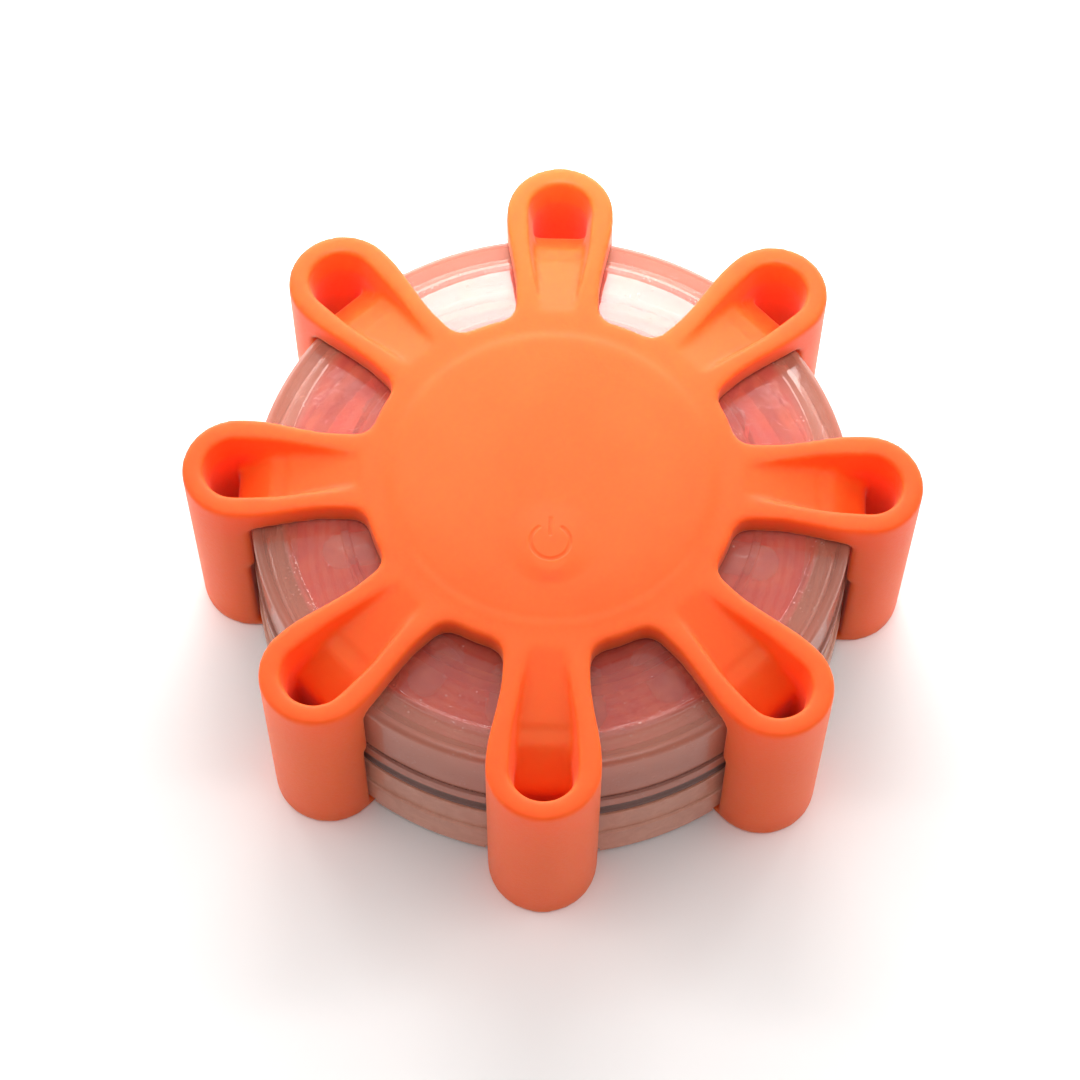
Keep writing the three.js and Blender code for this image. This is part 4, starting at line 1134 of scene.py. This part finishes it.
def make_world():
    world = bpy.data.worlds.new("studio")
    bpy.context.scene.world = world
    sky = Nodes(world)
    direction = sky.node("ShaderNodeTexCoord", output="Generated")
    x, y, z = sky.outputs("ShaderNodeSeparateXYZ", [0, 1, 2], {0: direction})
    depth = y.ramp(-0.8, 0.8, to=(WORLD_FRONT, WORLD_BACK))
    overhead = z.ramp(0.55, 0.95, to=(1.0, 0.75))
    strength = sky.node("ShaderNodeMath", {0: depth, 1: overhead}, operation="MULTIPLY")
    background = sky.node("ShaderNodeBackground", {
        "Color": (1.0, 0.985, 0.975, 1.0), "Strength": strength})
    sky.outputs("ShaderNodeOutputWorld", [], {"Surface": background})

def place_light(data, power, colour, at, target):
    data.energy = power
    data.color = colour
    light = bpy.data.objects.new(data.name, data)
    bpy.context.scene.collection.objects.link(light)
    light.location = at
    light.rotation_mode = "QUATERNION"
    light.rotation_quaternion = (Vector(target) - Vector(at)).to_track_quat("-Z", "Y")

def area(name, at, size, power, colour=WARM_WHITE, target=(0, 0, 0.02)):
    data = bpy.data.lights.new(name, "AREA")
    data.shape = "RECTANGLE"
    data.size, data.size_y = size
    place_light(data, power, colour, at, target)

def spot(name, at, power, colour, target, cone, softness):
    data = bpy.data.lights.new(name, "SPOT")
    data.spot_size, data.spot_blend, data.shadow_soft_size = rad(cone), 1.0, softness
    place_light(data, power, colour, at, target)

def make_lights():
    """places and sizes in metres, powers in watts"""
    area("key_left", at=(-0.55, 0.02, 0.55), size=(0.5, 0.5), power=KEY_POWER)
    area("key_right", at=(0.55, 0.05, 0.55), size=(0.5, 0.5), power=KEY_POWER)
    area("key_top", at=(0.0, -0.16, 0.85), size=(0.7, 0.5), power=1.45,
         colour=(1.0, 0.985, 0.965))
    spot("back_spot", at=(0.0, -0.06, 0.60), power=27.0, colour=(1.0, 0.97, 0.95),
         target=(0, 0.082, 0.03), cone=17, softness=0.05)
    area("back_strip", at=(-0.01, 0.24, 0.11), size=(0.5, 0.13), power=1.05,
         colour=(1.0, 0.97, 0.95), target=(0, 0.03, 0.02))
    area("top_strip", at=(0.0, 0.258, 0.385), size=(0.20, 0.054), power=0.47,
         colour=(1.0, 0.99, 0.98), target=(0, 0.258, 0.0))
    area("fill_front", at=(-0.25, -0.7, 0.55), size=(0.5, 0.4), power=0.05,
         colour=(1.0, 0.95, 0.94))

def make_camera():
    """in front of the lamp, looking steeply down on it"""
    data = bpy.data.cameras.new("camera")
    camera = bpy.data.objects.new("camera", data)
    bpy.context.scene.collection.objects.link(camera)
    elevation, azimuth, roll = 1.091, 0.021, 0.008           # radians
    away, shift_right, shift_up = 456.322, -1.608, 7.118     # mm from the origin
    back = Vector((math.sin(azimuth) * math.cos(elevation),
                   -math.cos(azimuth) * math.cos(elevation), math.sin(elevation)))
    level = Vector((math.cos(azimuth), math.sin(azimuth), 0))
    upright = back.cross(level)
    right = level * math.cos(roll) + upright * math.sin(roll)
    up = upright * math.cos(roll) - level * math.sin(roll)
    place = (back * away + right * shift_right + up * shift_up) * MM
    rows = [(right[i], up[i], back[i], place[i]) for i in range(3)]
    camera.matrix_world = Matrix((*rows, (0, 0, 0, 1)))
    data.sensor_width = 36
    data.lens = 100.2036667
    data.clip_start, data.clip_end = 0.01, 20
    bpy.context.scene.camera = camera

def set_render():
    view, cycles = bpy.context.scene.view_settings, bpy.context.scene.cycles
    view.view_transform = "Standard"
    view.look = "None"
    view.exposure = 0.0
    cycles.max_bounces = 10
    cycles.transmission_bounces = 10
    cycles.transparent_max_bounces = 12
    cycles.caustics_reflective = False
    cycles.caustics_refractive = False
    cycles.sample_clamp_indirect = 6.0

# ------------------------------------------------------------------ put together
make_materials()
for make in (make_bumper, make_lens, make_seal, make_base,
             make_door, make_gasket, make_magnet, make_hook, make_screws,
             make_board, make_leds, make_switch, make_controller, make_capacitor, make_resistors,
             make_cells, make_springs, make_plates, make_holder, make_wires,
             make_floor, make_world, make_lights, make_camera, set_render):
    make()
